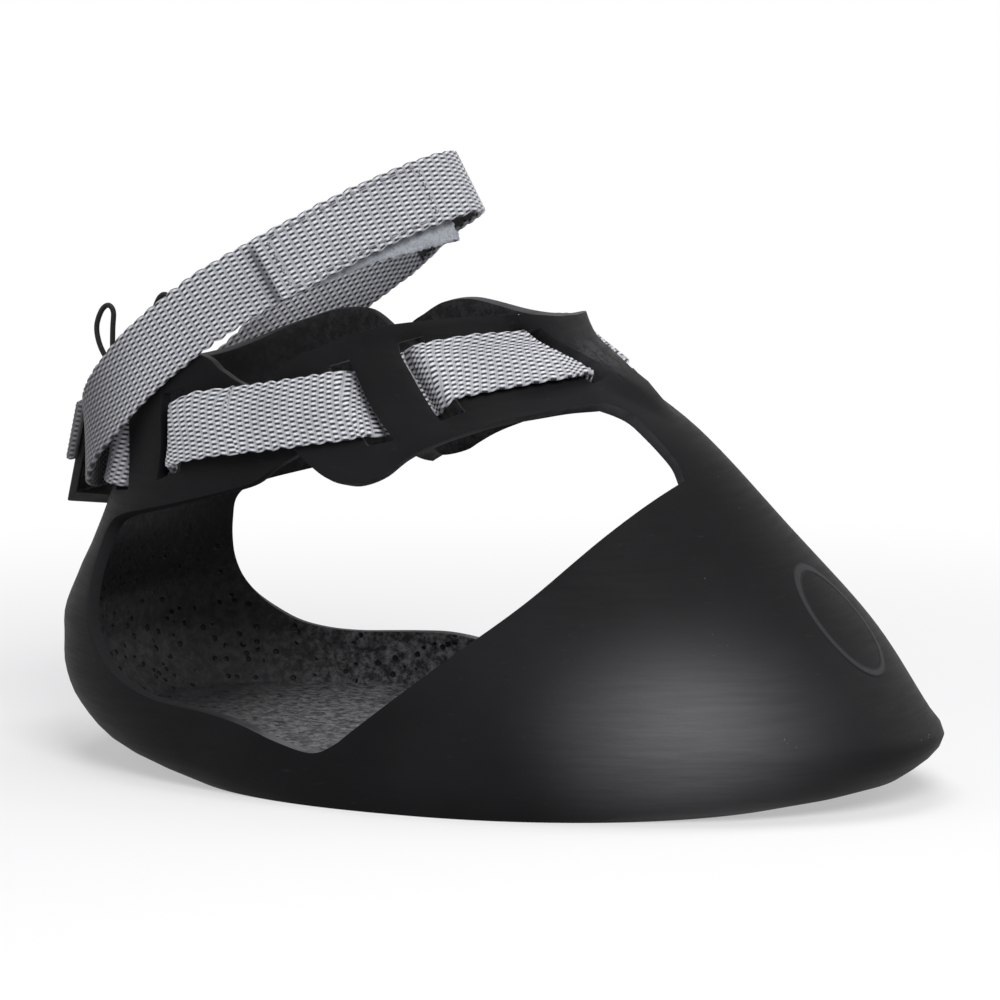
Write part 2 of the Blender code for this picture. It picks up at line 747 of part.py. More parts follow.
def lacing_strap(finish):
    half = WEBBING_WIDTH / 2
    rows = []
    for turn in even_turns(LACING_STEP):
        upper = half - corner_draw(turn)
        across = [(half + upper) * k / LACING_COLUMNS - half for k in range(LACING_COLUMNS + 1)]
        row = [lacing_point(turn, place, -1) for place in across]
        row += [lacing_point(turn, place, 1) for place in reversed(across)]
        rows.append(row)
    far = [[Vector((p.x, -p.y, p.z)) for p in row] for row in rows[-2:0:-1]]
    return add_object("lacing_strap", ribbon(rows + far, True), finish, smooth_angle=50)


# Rear keeper

def back_x(y, z):
    return skin(side_turn(abs(y), z), z).x if y else skin(1.0, z).x


def keeper_plate_x(z):
    """The outer face of the keeper's plate, which leans like the back of the heel."""
    bottom, top = (share * BOOT_HEIGHT for share in KEEPER_LEVEL_shares)
    low, high = skin(1.0, bottom).x, skin(1.0, top).x
    return low + (high - low) * (z - bottom) / (top - bottom) - KEEPER_DEPTH


def rear_keeper(finish):
    bottom, top = (share * BOOT_HEIGHT for share in KEEPER_LEVEL_shares)
    half_web = WEBBING_WIDTH / 2 + SLOT_CLEARANCE
    under, over = lacing_level(1) - half_web, lacing_level(1) + half_web
    low, high = bottom + KEEPER_THICKNESS, top - KEEPER_THICKNESS
    rows = []
    count = 8
    for k in range(count + 1):
        y = KEEPER_WIDTH * (k / count - 0.5)

        def seat(z, lift=0):
            return (back_x(y, z) - FIT_GAP - lift, y, z)

        rows.append([
            (keeper_plate_x(bottom), y, bottom), seat(bottom), seat(under), seat(under, KEEPER_FLANGE),
            seat(low, KEEPER_FLANGE), (keeper_plate_x(low) + KEEPER_THICKNESS, y, low),
            (keeper_plate_x(high) + KEEPER_THICKNESS, y, high), seat(high, KEEPER_FLANGE),
            seat(over, KEEPER_FLANGE), seat(over), seat(top), (keeper_plate_x(top), y, top),
        ])
    return add_object("rear_keeper", ribbon(rows, False), finish)


def keeper_wrap(finish):
    """Webbing sewn across the outside of the keeper's plate and over its two side edges."""
    radius = KEEPER_THICKNESS * math.sqrt(0.5) + FIT_GAP + WEBBING_THICKNESS / 2
    half = KEEPER_WIDTH / 2
    line = []
    for k in range(5):
        angle = math.pi / 2 * (1 + k / 4)
        line.append((radius * math.cos(angle), -half + KEEPER_THICKNESS / 2 - radius * math.sin(angle)))
    line += [(x, -y) for x, y in reversed(line)]
    level = lacing_level(1) + WRAP_RISE
    rows = []
    for k, (x, y) in enumerate(line):
        ahead = line[min(k + 1, len(line) - 1)]
        back = line[max(k - 1, 0)]
        run = Vector((ahead[0] - back[0], ahead[1] - back[1], 0)).normalized()
        out = Vector((run.y, -run.x, 0)) * WEBBING_THICKNESS / 2
        ends = []
        for side in (-1, 1):
            z = level + side * WRAP_WIDTH / 2
            ends.append(Vector((keeper_plate_x(z) + KEEPER_THICKNESS / 2 + x, y, z)))
        low, high = ends
        rows.append([low - out, low + out, high + out, high - out])
    return add_object("keeper_wrap", ribbon(rows, False), finish)


# Pull loops

def pull_loop(name, side, finish):
    level = pull_loop_level()
    turn = side_turn(PULL_LOOP_SPREAD / 2, level)
    seat = wall_point(turn, level, 0)
    deeper = wall_point(turn, level, WALL)
    inward = (deeper - seat).normalized()
    along, _ = skin_slopes(turn, level)
    across = along.normalized()
    upward = inward.cross(across)
    if upward.z < 0:
        upward = -upward
    leg = CORD_DIAMETER / 2 + FIT_GAP
    wide = PULL_LOOP_WIDTH / 2 - CORD_DIAMETER / 2
    tall = PULL_LOOP_HEIGHT
    clear = CORD_DIAMETER * 0.8
    lean = PULL_LOOP_LEAN
    half = [
        (-leg, -WALL, 0), (-leg, 0, 0), (-leg, clear + lean * 0.2, tall * 0.04),
        (-leg * 1.1, clear + lean * 0.55, tall * 0.2), (-wide * 0.75, clear + lean * 0.85, tall * 0.45),
        (-wide, clear + lean, tall * 0.7), (-wide * 0.75, clear + lean, tall * 0.92), (0, clear + lean, tall),
    ]
    route = half + [(-a, n, u) for a, n, u in reversed(half[:-1])]
    points = []
    for a, n, u in route:
        level_across = Vector((across.length if across.x > 0 else -across.length, 0, 0))
        wide = across.lerp(level_across, ease(2 * u / tall))
        points.append(seat + wide * a - inward * n + upward * u)
    points = [Vector((p.x, p.y * -side, p.z)) for p in points]
    line = spaced(through(points, 8), CORD_DIAMETER)
    curve = bpy.data.curves.new(name, "CURVE")
    curve.dimensions = "3D"
    curve.bevel_depth = CORD_DIAMETER / 2
    curve.bevel_resolution = 1
    curve.use_fill_caps = True
    spline = curve.splines.new("POLY")
    spline.points.add(len(line) - 1)
    for point, place in zip(spline.points, line):
        point.co = (*place, 1)
    made = bpy.data.objects.new(name, curve)
    bpy.context.scene.collection.objects.link(made)
    curve.materials.append(finish)
    return made


def loop_knot(name, side, finish):
    level = pull_loop_level()
    turn = side_turn(PULL_LOOP_SPREAD / 2, level)
    seat = wall_point(turn, level, WALL + FIT_GAP + KNOT_THICKNESS / 2)
    inward = (seat - wall_point(turn, level, 0)).normalized()
    bm = bmesh.new()
    bmesh.ops.create_uvsphere(bm, u_segments=14, v_segments=8, radius=0.5)
    bmesh.ops.scale(bm, verts=bm.verts, vec=(KNOT_DIAMETER, KNOT_DIAMETER, KNOT_THICKNESS))
    turned = inward.to_track_quat("Z", "Y").to_matrix().to_4x4()
    bmesh.ops.transform(bm, matrix=turned, verts=bm.verts)
    bmesh.ops.translate(bm, verts=bm.verts, vec=seat)
    if side == FAR:
        for vert in bm.verts:
            vert.co.y = -vert.co.y
        bmesh.ops.reverse_faces(bm, faces=bm.faces)
    return add_object(name, bm, finish)


# Ring strap

def ring_line():
    """The near half of the ring strap's middle line, with a point beyond each end."""
    half = [Vector((x * BOOT_LENGTH, -y * SOLE_WIDTH, z * BOOT_HEIGHT)) for x, y, z in RING_PATH_shares]

    def mirrored(p):
        return Vector((p.x, -p.y, p.z))

    line = through([mirrored(half[1])] + half + [mirrored(half[-2])], 12)[12:-12]
    return spaced(line, STRAP_STEP / 4)


def ring_frame(line, share):
    """Middle point, run, outward and width directions at a share of the near half."""
    last = len(line) - 1
    place = min(max(share, 0), 1) * last
    k = min(int(place), last - 1)
    point = line[k].lerp(line[k + 1], place - k)
    ahead, back = line[min(k + 3, last)], line[max(k - 2, 0)]
    if k < 3 or k > last - 3:
        run = Vector((0, -1 if k < 3 else 1, 0))
        blend = min(k, last - k) / 3
        run = run.lerp((ahead - back).normalized(), blend).normalized()
    else:
        run = (ahead - back).normalized()
    lean = smooth(RING_LEAN_shares, share) * RING_LEAN
    axis = Vector((-math.sin(lean), 0, math.cos(lean)))
    outward = run.cross(axis).normalized()
    if outward.dot(point - Vector((BOOT_LENGTH / 4, 0, point.z))) < 0:
        outward = -outward
    width = outward.cross(run).normalized()
    if width.z < 0:
        width = -width
    return point, run, outward, width


def lap_offset():
    return WEBBING_THICKNESS + 2 * TAPE_THICKNESS + 3 * FIT_GAP


def band_rows(line, shares, offset, width, thickness, side, shift=None):
    """Cross-sections of a band along the ring; offset and shift may be functions of the share."""
    rows = []
    for share in shares:
        point, _, outward, up = ring_frame(line, share)
        out = offset(share) if callable(offset) else offset
        middle = point + outward * out + up * (shift(share) if shift else 0)
        row = []
        for across, face in ((-1, 1), (0, 1), (1, 1), (1, -1), (0, -1), (-1, -1)):
            p = middle + up * across * width / 2 + outward * face * thickness / 2
            row.append(Vector((p.x, p.y * -side, p.z)))
        rows.append(row)
    return rows


def shares_between(line, start, end):
    total = sum((b - a).length for a, b in zip(line[:-1], line[1:]))
    count = max(2, round(abs(end - start) * total / STRAP_STEP))
    return [start + (end - start) * k / count for k in range(count + 1)]


def far_offset(share):
    """The far part passes outside the far heel wing, and ends on the closing end's level."""
    start, full, last, end = RING_BESIDE_WING_shares
    beside = BESIDE_WING * ease((share - start) / (full - start)) * ease((end - share) / (end - last))
    lapped = (share - RING_LAP_START_share) / (LAPPED_share - RING_LAP_START_share)
    return beside + lap_offset() * ease(lapped)


def under_drop(share):
    """The under end lies a little lower than the end that closes over it."""
    return -UNDER_DROP * ease((share - CLOSING_END_share) / (1 - CLOSING_END_share))


def ring_strap(finish, pivot, parent):
    """The webbing ring: the under end on the near side, round the keeper, and the far side."""
    line = ring_line()
    under = shares_between(line, UNDER_END_share, 0)
    near = band_rows(line, under, 0, WEBBING_WIDTH, WEBBING_THICKNESS, NEAR, under_drop)
    far = band_rows(line, shares_between(line, 0, 1), far_offset, WEBBING_WIDTH, WEBBING_THICKNESS, FAR)
    return add_object("ring_strap", ribbon(near + far[1:], False), finish, pivot, parent, 50)


def ring_layer(name, finish, ends, offset, width, thickness, origin, side=NEAR, shift=None):
    """A band on one side of the ring, its origin and parent as given."""
    line = ring_line()
    rows = band_rows(line, shares_between(line, *ends), offset, width, thickness, side, shift)
    return add_object(name, ribbon(rows, False), finish, *origin, 50)


def empty(name, place, parent=None):
    made = bpy.data.objects.new(name, None)
    bpy.context.scene.collection.objects.link(made)
    made.location = Vector(place) - (parent.location if parent else Vector())
    made.parent = parent
    bpy.context.view_layer.update()
    return made


def build():
    for old in list(bpy.data.objects):
        bpy.data.objects.remove(old, do_unlink=True)
    rubber = material("moulded_rubber", (0.022, 0.022, 0.024), 0.5)
    lacing = material("grey_webbing", (0.34, 0.35, 0.39), 0.8)
    keeper = material("keeper_rubber", (0.015, 0.015, 0.016), 0.6)
    cord = material("black_cord", (0.012, 0.012, 0.013), 0.7)
    hook = material("hook_tape", (0.2, 0.2, 0.21), 0.9)
    loop = material("loop_tape", (0.5, 0.52, 0.57), 0.95)
    inner = material("inner_tape", (0.05, 0.05, 0.055), 0.9)

    boot_shell(rubber)
    lacing_strap(lacing)
    rear_keeper(keeper)
    keeper_wrap(lacing)
    for side, word in ((NEAR, "near"), (FAR, "far")):
        pull_loop("pull_loop_" + word, side, cord)
        loop_knot("loop_knot_" + word, side, cord)

    line = ring_line()
    swing = empty("ring_swing", line[0])
    tip, _, outward, _ = ring_frame(line, 1)
    peel_place = tip + outward * (lap_offset() + WEBBING_THICKNESS / 2)
    peel = empty("closing_peel", peel_place, swing)
    tape_width = WEBBING_WIDTH - 2 * TAPE_MARGIN
    ring_strap(lacing, line[0], swing)
    half = WEBBING_THICKNESS / 2
    loop_offset = half + FIT_GAP + TAPE_THICKNESS / 2
    hook_offset = loop_offset + TAPE_THICKNESS + FIT_GAP
    inner_offset = half + FIT_GAP + INNER_TAPE_THICKNESS / 2
    on_ring, on_end = (line[0], swing), (peel_place, peel)
    ring_layer("loop_tape", loop, LOOP_TAPE_shares, loop_offset, WEBBING_WIDTH, TAPE_THICKNESS, on_ring,
               shift=under_drop)
    ring_layer("inner_tape", inner, INNER_TAPE_shares, lambda share: far_offset(share) - inner_offset,
               tape_width, INNER_TAPE_THICKNESS, on_ring, FAR)
    total = sum((b - a).length for a, b in zip(line[:-1], line[1:]))
    closing = (CLOSING_END_share, 1 - FIT_GAP / total)
    ring_layer("closing_end", lacing, closing, lap_offset(), WEBBING_WIDTH, WEBBING_THICKNESS, on_end)
    ring_layer("hook_tape", hook, HOOK_TAPE_shares, hook_offset, tape_width, TAPE_THICKNESS, on_end)
    for made in bpy.data.objects:
        if not made.parent:
            made.location.x -= BOOT_LENGTH / 2
    for name, place in (("ring_swing", line[0]), ("closing_peel", peel_place)):
        print(name, "is at", tuple(round(v, 5) for v in place - Vector((BOOT_LENGTH / 2, 0, 0))))


build()
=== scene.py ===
"""Looks of the horse hoof boot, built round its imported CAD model."""

import math

import bmesh
import bpy
import numpy as np
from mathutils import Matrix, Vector
from mathutils.geometry import delaunay_2d_cdt


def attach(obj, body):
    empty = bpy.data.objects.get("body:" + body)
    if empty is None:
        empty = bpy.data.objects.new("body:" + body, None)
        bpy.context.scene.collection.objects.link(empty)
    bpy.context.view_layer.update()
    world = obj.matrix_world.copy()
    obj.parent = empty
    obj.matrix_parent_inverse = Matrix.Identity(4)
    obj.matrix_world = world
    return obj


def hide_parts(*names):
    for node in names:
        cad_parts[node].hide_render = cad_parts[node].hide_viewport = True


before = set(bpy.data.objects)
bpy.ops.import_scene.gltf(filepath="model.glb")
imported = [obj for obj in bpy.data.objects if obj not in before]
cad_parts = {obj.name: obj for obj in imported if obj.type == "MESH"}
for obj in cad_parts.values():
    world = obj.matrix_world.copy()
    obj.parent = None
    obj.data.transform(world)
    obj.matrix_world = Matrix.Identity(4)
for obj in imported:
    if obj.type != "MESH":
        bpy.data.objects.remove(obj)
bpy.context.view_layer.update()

# The boot's sizes in metres, and its lines as shares of them, measured from the back of the heel
LENGTH, HEIGHT, SOLE = 0.240, 0.126, 0.136
WALL, FLOOR, FLOOR_BLEND = 0.0032, 0.008, 0.012
WEB, WEB_THICK = 0.018, 0.002
SLOT_WIDTH, BAR_RISE, SLOT_CLEAR, LACING_GAP, FIT = 0.0078, 0.0024, 0.001, 0.0009, 0.0003
ORIGIN = np.array([LENGTH / 2, 0, 0])

TOE_LINE = (
    (0, 0.875), (0.04, 0.955), (0.127, 1), (0.172, 0.983), (0.333, 0.925), (0.516, 0.833), (0.722, 0.725),
    (0.849, 0.628), (0.905, 0.591), (1, 0.572),
)
HEEL_LINE = (
    (0, 0.158), (0.032, 0.092), (0.063, 0.054), (0.103, 0.029), (0.159, 0.008), (0.222, 0), (0.286, 0),
    (0.397, 0.025), (0.46, 0.042), (0.595, 0.067), (0.714, 0.079), (0.873, 0.092), (1.0, 0.095),
)
HALF_WIDTH = (
    (0, 0.495), (0.06, 0.5), (0.16, 0.5), (0.476, 0.415), (0.675, 0.352), (0.794, 0.338), (1.0, 0.325),
)
WIDEST = ((0, 0.51), (0.16, 0.48), (0.476, 0.42), (0.675, 0.31), (0.8, 0.26), (1.0, 0.25))
REAR_FULLNESS = ((0, 2.4), (0.25, 2.4), (0.45, 2.8), (0.7, 2.6), (1.0, 2.6))
FRONT_FULLNESS = 2.05
NEAR, FAR = -1, 1
HEEL_WING_TOP = {
    NEAR: (
        (0.079, 0.817), (0.104, 0.829), (0.146, 0.853), (0.1875, 0.873), (0.217, 0.881), (0.2375, 0.873),
        (0.25, 0.852),
    ),
    FAR: (
        (0.079, 0.817), (0.104, 0.824), (0.135, 0.848), (0.16, 0.87), (0.185, 0.888), (0.21, 0.905),
        (0.23, 0.914), (0.25, 0.918),
    ),
}
HEEL_WING_TIP = {
    NEAR: (
        (0.25, 0.852), (0.275, 0.825), (0.308, 0.812), (0.34, 0.813), (0.366, 0.802), (0.374, 0.762),
        (0.364, 0.722), (0.342, 0.69), (0.315, 0.66), (0.293, 0.631), (0.25, 0.603),
    ),
    FAR: (
        (0.25, 0.918), (0.27, 0.916), (0.285, 0.904), (0.3, 0.884), (0.318, 0.86), (0.342, 0.838),
        (0.366, 0.808), (0.374, 0.762), (0.364, 0.722), (0.342, 0.69), (0.315, 0.66), (0.293, 0.631),
        (0.25, 0.603),
    ),
}
SIDE_OPENING_REAR = {
    NEAR: (
        (0.25, 0.603), (0.191, 0.569), (0.126, 0.537), (0.104, 0.508), (0.0945, 0.46), (0.0905, 0.413),
        (0.091, 0.36), (0.099, 0.3), (0.118, 0.253), (0.142, 0.22), (0.171, 0.197), (0.208, 0.181),
        (0.271, 0.171), (0.317, 0.155), (0.3625, 0.127), (0.404, 0.111), (0.43, 0.13), (0.458, 0.171),
        (0.55, 0.31), (0.625, 0.426), (0.6875, 0.548), (0.717, 0.603), (0.742, 0.645),
    ),
    FAR: (
        (0.25, 0.603), (0.191, 0.569), (0.126, 0.537), (0.102, 0.508), (0.0925, 0.452), (0.088, 0.4),
        (0.0885, 0.354), (0.0945, 0.31), (0.107, 0.272), (0.128, 0.235), (0.152, 0.206), (0.182, 0.19),
        (0.215, 0.184), (0.25, 0.185), (0.284, 0.187), (0.32, 0.187), (0.356, 0.177), (0.395, 0.158),
        (0.43, 0.152), (0.462, 0.177), (0.55, 0.31), (0.625, 0.426), (0.6875, 0.548), (0.717, 0.603),
        (0.742, 0.645),
    ),
}
NECK_SIDE = (
    (0.742, 0.645), (0.7303, 0.6785), (0.7153, 0.7076), (0.6979, 0.7373), (0.6782, 0.7665),
    (0.6627, 0.7824), (0.648, 0.7935),
)
FRONT_WING = {
    NEAR: (
        (0.648, 0.7935), (0.6242, 0.7896), (0.5983, 0.7795), (0.5713, 0.768), (0.5487, 0.7554),
        (0.5095, 0.7271), (0.4751, 0.695), (0.45, 0.657), (0.425, 0.6385), (0.405, 0.6385), (0.387, 0.645),
        (0.37, 0.663), (0.3516, 0.69), (0.332, 0.722), (0.318, 0.76), (0.3125, 0.8), (0.322, 0.85),
        (0.3428, 0.884), (0.3649, 0.903), (0.3866, 0.92), (0.4024, 0.933), (0.4387, 0.951), (0.4883, 0.962),
        (0.5316, 0.966), (0.56, 0.962), (0.58, 0.95),
    ),
    FAR: (
        (0.648, 0.7935), (0.6242, 0.7896), (0.5983, 0.7795), (0.5713, 0.765), (0.53, 0.742), (0.48, 0.71),
        (0.4235, 0.6686), (0.3953, 0.6416), (0.3768, 0.6219), (0.3478, 0.6072), (0.323, 0.611),
        (0.304, 0.634), (0.292, 0.68), (0.2875, 0.74), (0.29, 0.8), (0.302, 0.855), (0.3201, 0.892),
        (0.3361, 0.911), (0.3497, 0.9273), (0.3633, 0.9396), (0.3838, 0.9483), (0.4045, 0.9507),
        (0.4255, 0.9469), (0.4469, 0.9413), (0.4689, 0.936), (0.4919, 0.9334), (0.5166, 0.9345),
        (0.55, 0.942), (0.58, 0.95),
    ),
}
DRAW_IN_LENGTH, DRAW_IN_HEIGHT = (0.175, 0.308), (0.49, 0.60)
SLOT_TURN = {
    "front": (0.062, 0.122), "bridge_front": (0.302, 0.289), "bridge_rear": (0.389, 0.380),
    "heel_front": (0.645, 0.590), "heel_rear": (0.785, 0.795),
}
LACING_LEVEL = (
    (0, 0.884), (0.15, 0.879), (0.24, 0.869), (0.305, 0.845), (0.372, 0.8), (0.44, 0.774), (0.5, 0.752),
    (0.62, 0.717), (0.77, 0.66), (1.0, 0.65),
)
RING_PATH = (
    (0.0388, 0, 0.633), (0.0383, 0.055, 0.631), (0.0418, 0.1125, 0.633), (0.0585, 0.206, 0.658),
    (0.0887, 0.2774, 0.7302), (0.1425, 0.3204, 0.8333), (0.1953, 0.3345, 0.9158), (0.25, 0.3232, 0.9923),
    (0.314, 0.2753, 1.0671), (0.3717, 0.1911, 1.1361), (0.4157, 0.0962, 1.183), (0.435, 0, 1.2),
)
RING_LEAN = ((0, 0), (0.3, 0.0314), (0.7, 0.3037), (1.0, 0.5236))
LAP_START, LAPPED, CLOSING_END, UNDER_END = 0.86, 0.97, 0.665, 0.975
BESIDE_WING, RING_BESIDE_WING = 0.0014, (0.12, 0.36, 0.6, 0.8)
HEEL_CORNER, HEEL_CORNER_REACH = 0.0018, 0.011
LOOP_TAPE, HOOK_TAPE, INNER_TAPE = (0.72, 0.965), (0.685, 0.93), (0.73, 0.955)
UNDER_DROP, TAPE_THICK, INNER_THICK, TAPE_MARGIN = 0.005, 0.0012, 0.0008, 0.001
KEEPER_LEVEL, KEEPER_WIDTH, KEEPER_THICK, KEEPER_DEPTH = (0.523, 0.798), 0.026, 0.0025, 0.0141
WRAP_WIDTH, WRAP_RISE = 0.016, 0.0034
PULL_LEVEL, PULL_SPREAD, CORD, PULL_TALL, PULL_LEAN = 0.772, 0.0305, 0.0016, 0.0207, 0.0095
OVAL_PLACE, OVAL_HALF = (0.0977, -0.0065, 0.0465), (0.0100, 0.0125)
EDGE, GRID = 0.0013, 0.0026
ROUND_EDGE, ROUND_STEPS, ROUND_FROM, SHARP_FROM = 0.0009, 3, 42, 50
GROOVES, GROOVE_WIDTH, GROOVE_CUT, GROOVE_INSET = 8, 0.005, 0.004, 0.012
WARPS, RIB, PER_WARP, PER_RIB = 14, 0.00205, 4, 5
BAND_THICK, WEAVE_HIGH, SCALLOP, WOBBLE = 0.0012, 0.00036, 0.00045, 0.00008
TAPE_STEP, TAPE_COLUMNS, TAPE_ROUGH = 0.0007, 26, 0.0002
KEEPER_ROWS, KEEPER_RELIEF, KEEPER_ROUND = 24, 0.002, 0.0006
PULL_WIDE, KNOT_RADIUS, KNOT_SWAY, KNOT_CORD, KNOT_TURNS, KNOT_POINTS = 0.0064, 0.0019, 0.0004, 0.0009, 3, 120
STITCH, THREAD, STITCH_STEP, SEAM_ACROSS, SEAM_INSET = 0.0019, 0.00026, 0.0030, 0.8, 0.02
VIEW_AZIMUTH, VIEW_ELEVATION, VIEW_DISTANCE, VIEW_TARGET = 23.2, 7.9, 1.3, (0, 0, 0.070)
VIEW_LENS, VIEW_SENSOR, VIEW_SHIFT = 179.4, 36, 0.004
FLOOR_RADIUS, FLOOR_FADE, FLOOR_TONE = 0.6, (0.16, 0.5), 0.85
FILL_COLOR, FILL = (0.85, 0.88, 0.95, 1), 0.22
LAMPS = (
    ("key", (0.55, -0.75, 0.75), (0.5, 0.5), 10, (0.05, -0.03, 0.04)),
    ("left", (-0.75, -0.55, 0.45), (0.4, 0.7), 1, (-0.05, 0, 0.05)),
    ("top", (-0.05, 0.1, 1.1), (0.7, 0.7), 5, (0, 0, 0.05)),
    ("rim", (0.65, 0.55, 0.35), (0.35, 0.6), 1.5, (0.05, 0, 0.05)),
)


def smooth(table, at):
    """A smooth line through a table of pairs, without overshoot."""
    xs = np.array([row[0] for row in table], float)
    ys = np.array([row[1] for row in table], float)
    at = np.clip(np.asarray(at, float), xs[0], xs[-1])
    steps = np.diff(xs)
    rises = np.diff(ys) / steps
    slopes = np.zeros(len(xs))
    slopes[0], slopes[-1] = rises[0], rises[-1]
    product = rises[:-1] * rises[1:]
    total = rises[:-1] + rises[1:]
    slopes[1:-1] = np.where(product > 0, 2 * product / np.where(total == 0, 1, total), 0)
    i = np.clip(np.searchsorted(xs, at, side="right") - 1, 0, len(steps) - 1)
    t = (at - xs[i]) / steps[i]
    return (
        (2 * t**3 - 3 * t**2 + 1) * ys[i] + (t**3 - 2 * t**2 + t) * steps[i] * slopes[i]
        + (3 * t**2 - 2 * t**3) * ys[i + 1] + (t**3 - t**2) * steps[i] * slopes[i + 1]
    )


def ease(t):
    t = np.clip(t, 0, 1)
    return t * t * (3 - 2 * t)


def through(points, parts):
    """A rounded line through points."""
    points = [np.array(p, float) for p in points]
    line = []
    for i in range(len(points) - 1):
        a, b = points[i], points[i + 1]
        before = points[i - 1] if i > 0 else a * 2 - b
        after = points[i + 2] if i + 2 < len(points) else b * 2 - a
        for k in range(parts):
            t = k / parts
            line.append(0.5 * (2 * a + (b - before) * t + (2 * before - 5 * a + 4 * b - after) * t**2
                               + (3 * a - before - 3 * b + after) * t**3))
    line.append(points[-1])
    return np.array(line)


def along(line):
    return np.concatenate([[0], np.cumsum(np.linalg.norm(np.diff(line, axis=0), axis=1))])


def spaced(line, step):
    """Points about one step apart along a line."""
    run = along(line)
    count = max(1, round(run[-1] / step))
    at = np.linspace(0, run[-1], count + 1)
    return np.stack([np.interp(at, run, line[:, k]) for k in range(line.shape[1])], 1)


def skin(turn, z):
    """Points of the wall's outer face on the near side; turn is 0 at the toe and 1 at the heel."""
    turn, z = np.broadcast_arrays(np.asarray(turn, float), np.asarray(z, float))
    up = z / HEIGHT
    toe, heel = smooth(TOE_LINE, up) * LENGTH, smooth(HEEL_LINE, up) * LENGTH
    half, widest = smooth(HALF_WIDTH, up) * SOLE, smooth(WIDEST, up) * LENGTH
    rear = smooth(REAR_FULLNESS, up)
    forward = np.cos(turn * np.pi)
    across = np.maximum(np.sin(turn * np.pi), 0)
    ahead = forward >= 0
    full = np.where(ahead, FRONT_FULLNESS, rear)
    reach = np.abs(forward) ** (2 / full)
    x = np.where(ahead, widest + (toe - widest) * reach, widest - (widest - heel) * reach)
    y = -half * across ** (2 / full)
    y = np.where((turn <= 0) | (turn >= 1), 0, y)
    return np.stack([x, y, z], -1)


def unit(v):
    return v / np.maximum(np.linalg.norm(v, axis=-1, keepdims=True), 1e-12)


def slopes(turn, z):
    small = 1e-3
    rise = small * HEIGHT
    before, after = np.maximum(turn - small, 0), np.minimum(turn + small, 1)
    low, high = np.maximum(z - rise, 0), z + rise
    run = (skin(after, z) - skin(before, z)) / (after - before)[..., None]
    ends = (turn < small) | (turn > 1 - small)
    run[..., 0] = np.where(ends, 0, run[..., 0])
    run[..., 2] = np.where(ends, 0, run[..., 2])
    return run, (skin(turn, high) - skin(turn, low)) / (high - low)[..., None]


def wall_point(turn, z, depth):
    """Points so deep under the wall's outer face."""
    turn, z, depth = (np.array(v, float) for v in np.broadcast_arrays(turn, z, depth))
    run, up = slopes(turn, z)
    inward = unit(np.cross(run, up))
    middle = (turn <= 0) | (turn >= 1)
    inward[..., 1] = np.where(middle, 0, inward[..., 1])
    inward = unit(inward)
    p = skin(turn, z)
    centre = np.stack([np.full_like(z, LENGTH / 2), np.zeros_like(z), z], -1)
    away = (inward * (centre - p)).sum(-1) < 0
    inward = np.where(away[..., None], -inward, inward)
    return p + inward * depth[..., None]


def turn_at(x, z):
    x, z = np.broadcast_arrays(np.asarray(x, float), np.asarray(z, float))
    low, high = np.zeros_like(x), np.ones_like(x)
    for _ in range(40):
        middle = (low + high) / 2
        more = skin(middle, z)[..., 0] > x
        low, high = np.where(more, middle, low), np.where(more, high, middle)
    return (low + high) / 2


def side_turn(across, z):
    low, high = 0.5, 1.0
    for _ in range(40):
        middle = (low + high) / 2
        if -skin(middle, z)[1] > across:
            low = middle
        else:
            high = middle
    return (low + high) / 2


def draw_in(turn, z):
    x = skin(turn, z)[..., 0] / LENGTH
    start, end = DRAW_IN_LENGTH
    low, high = DRAW_IN_HEIGHT
    return (WALL + FIT * 2) * ease((x - start) / (end - start)) * ease((z / HEIGHT - low) / (high - low))


# Lacing strap's route over the wall
def lacing_level(turn):
    return smooth(LACING_LEVEL, turn) * HEIGHT


def lacing_width(turn):
    turn = np.asarray(turn, float)
    small = 1e-3
    run, up = slopes(turn, lacing_level(turn))
    slope = (lacing_level(turn + small) - lacing_level(turn - small)) / (2 * small)
    width = unit(np.cross(run + up * slope[..., None], np.cross(up, run)))
    return np.where(width[..., 2:3] > 0, width, -width)


SLOTS = {}
for slot_name, (slot_low, slot_high) in SLOT_TURN.items():
    slot_mid = np.array((slot_low + slot_high) / 2)
    SLOTS[slot_name] = (
        slot_low, slot_high, float(slot_mid), float(lacing_level(slot_mid)), float(lacing_width(slot_mid)[2]),
        float(np.linalg.norm(slopes(slot_mid, lacing_level(slot_mid))[0])),
    )


def slot_turn(name, z):
    low, high, _, level, rise, _ = SLOTS[name]
    return low + (high - low) * ((z - level) / (WEB * rise) + 0.5)


def slot_corners(name):
    _, _, centre, level, rise, run = SLOTS[name]
    half_turn = SLOT_WIDTH / 2 / run
    half_height = (WEB / 2 + SLOT_CLEAR) * rise
    corners = []
    for side, end in ((-1, -1), (1, -1), (1, 1), (-1, 1)):
        z = level + end * half_height
        turn = slot_turn(name, z) + side * half_turn
        slope = (lacing_level(turn + half_turn) - lacing_level(turn - half_turn)) / (2 * half_turn)
        corners.append((turn, float(z + slope * (turn - centre))))
    return corners


def through_slot(name, turn, z):
    run = SLOTS[name][5]
    return ease((turn - slot_turn(name, z)) * run / (SLOT_WIDTH - 2.5 * SLOT_CLEAR) + 0.5)


def bar_rise(turn, z):
    above = (z - lacing_level(turn)) / (WEB / 2 + SLOT_WIDTH)
    return BAR_RISE * (1 - through_slot("front", turn, z)) * ease(2.5 * (1 - np.abs(above)))


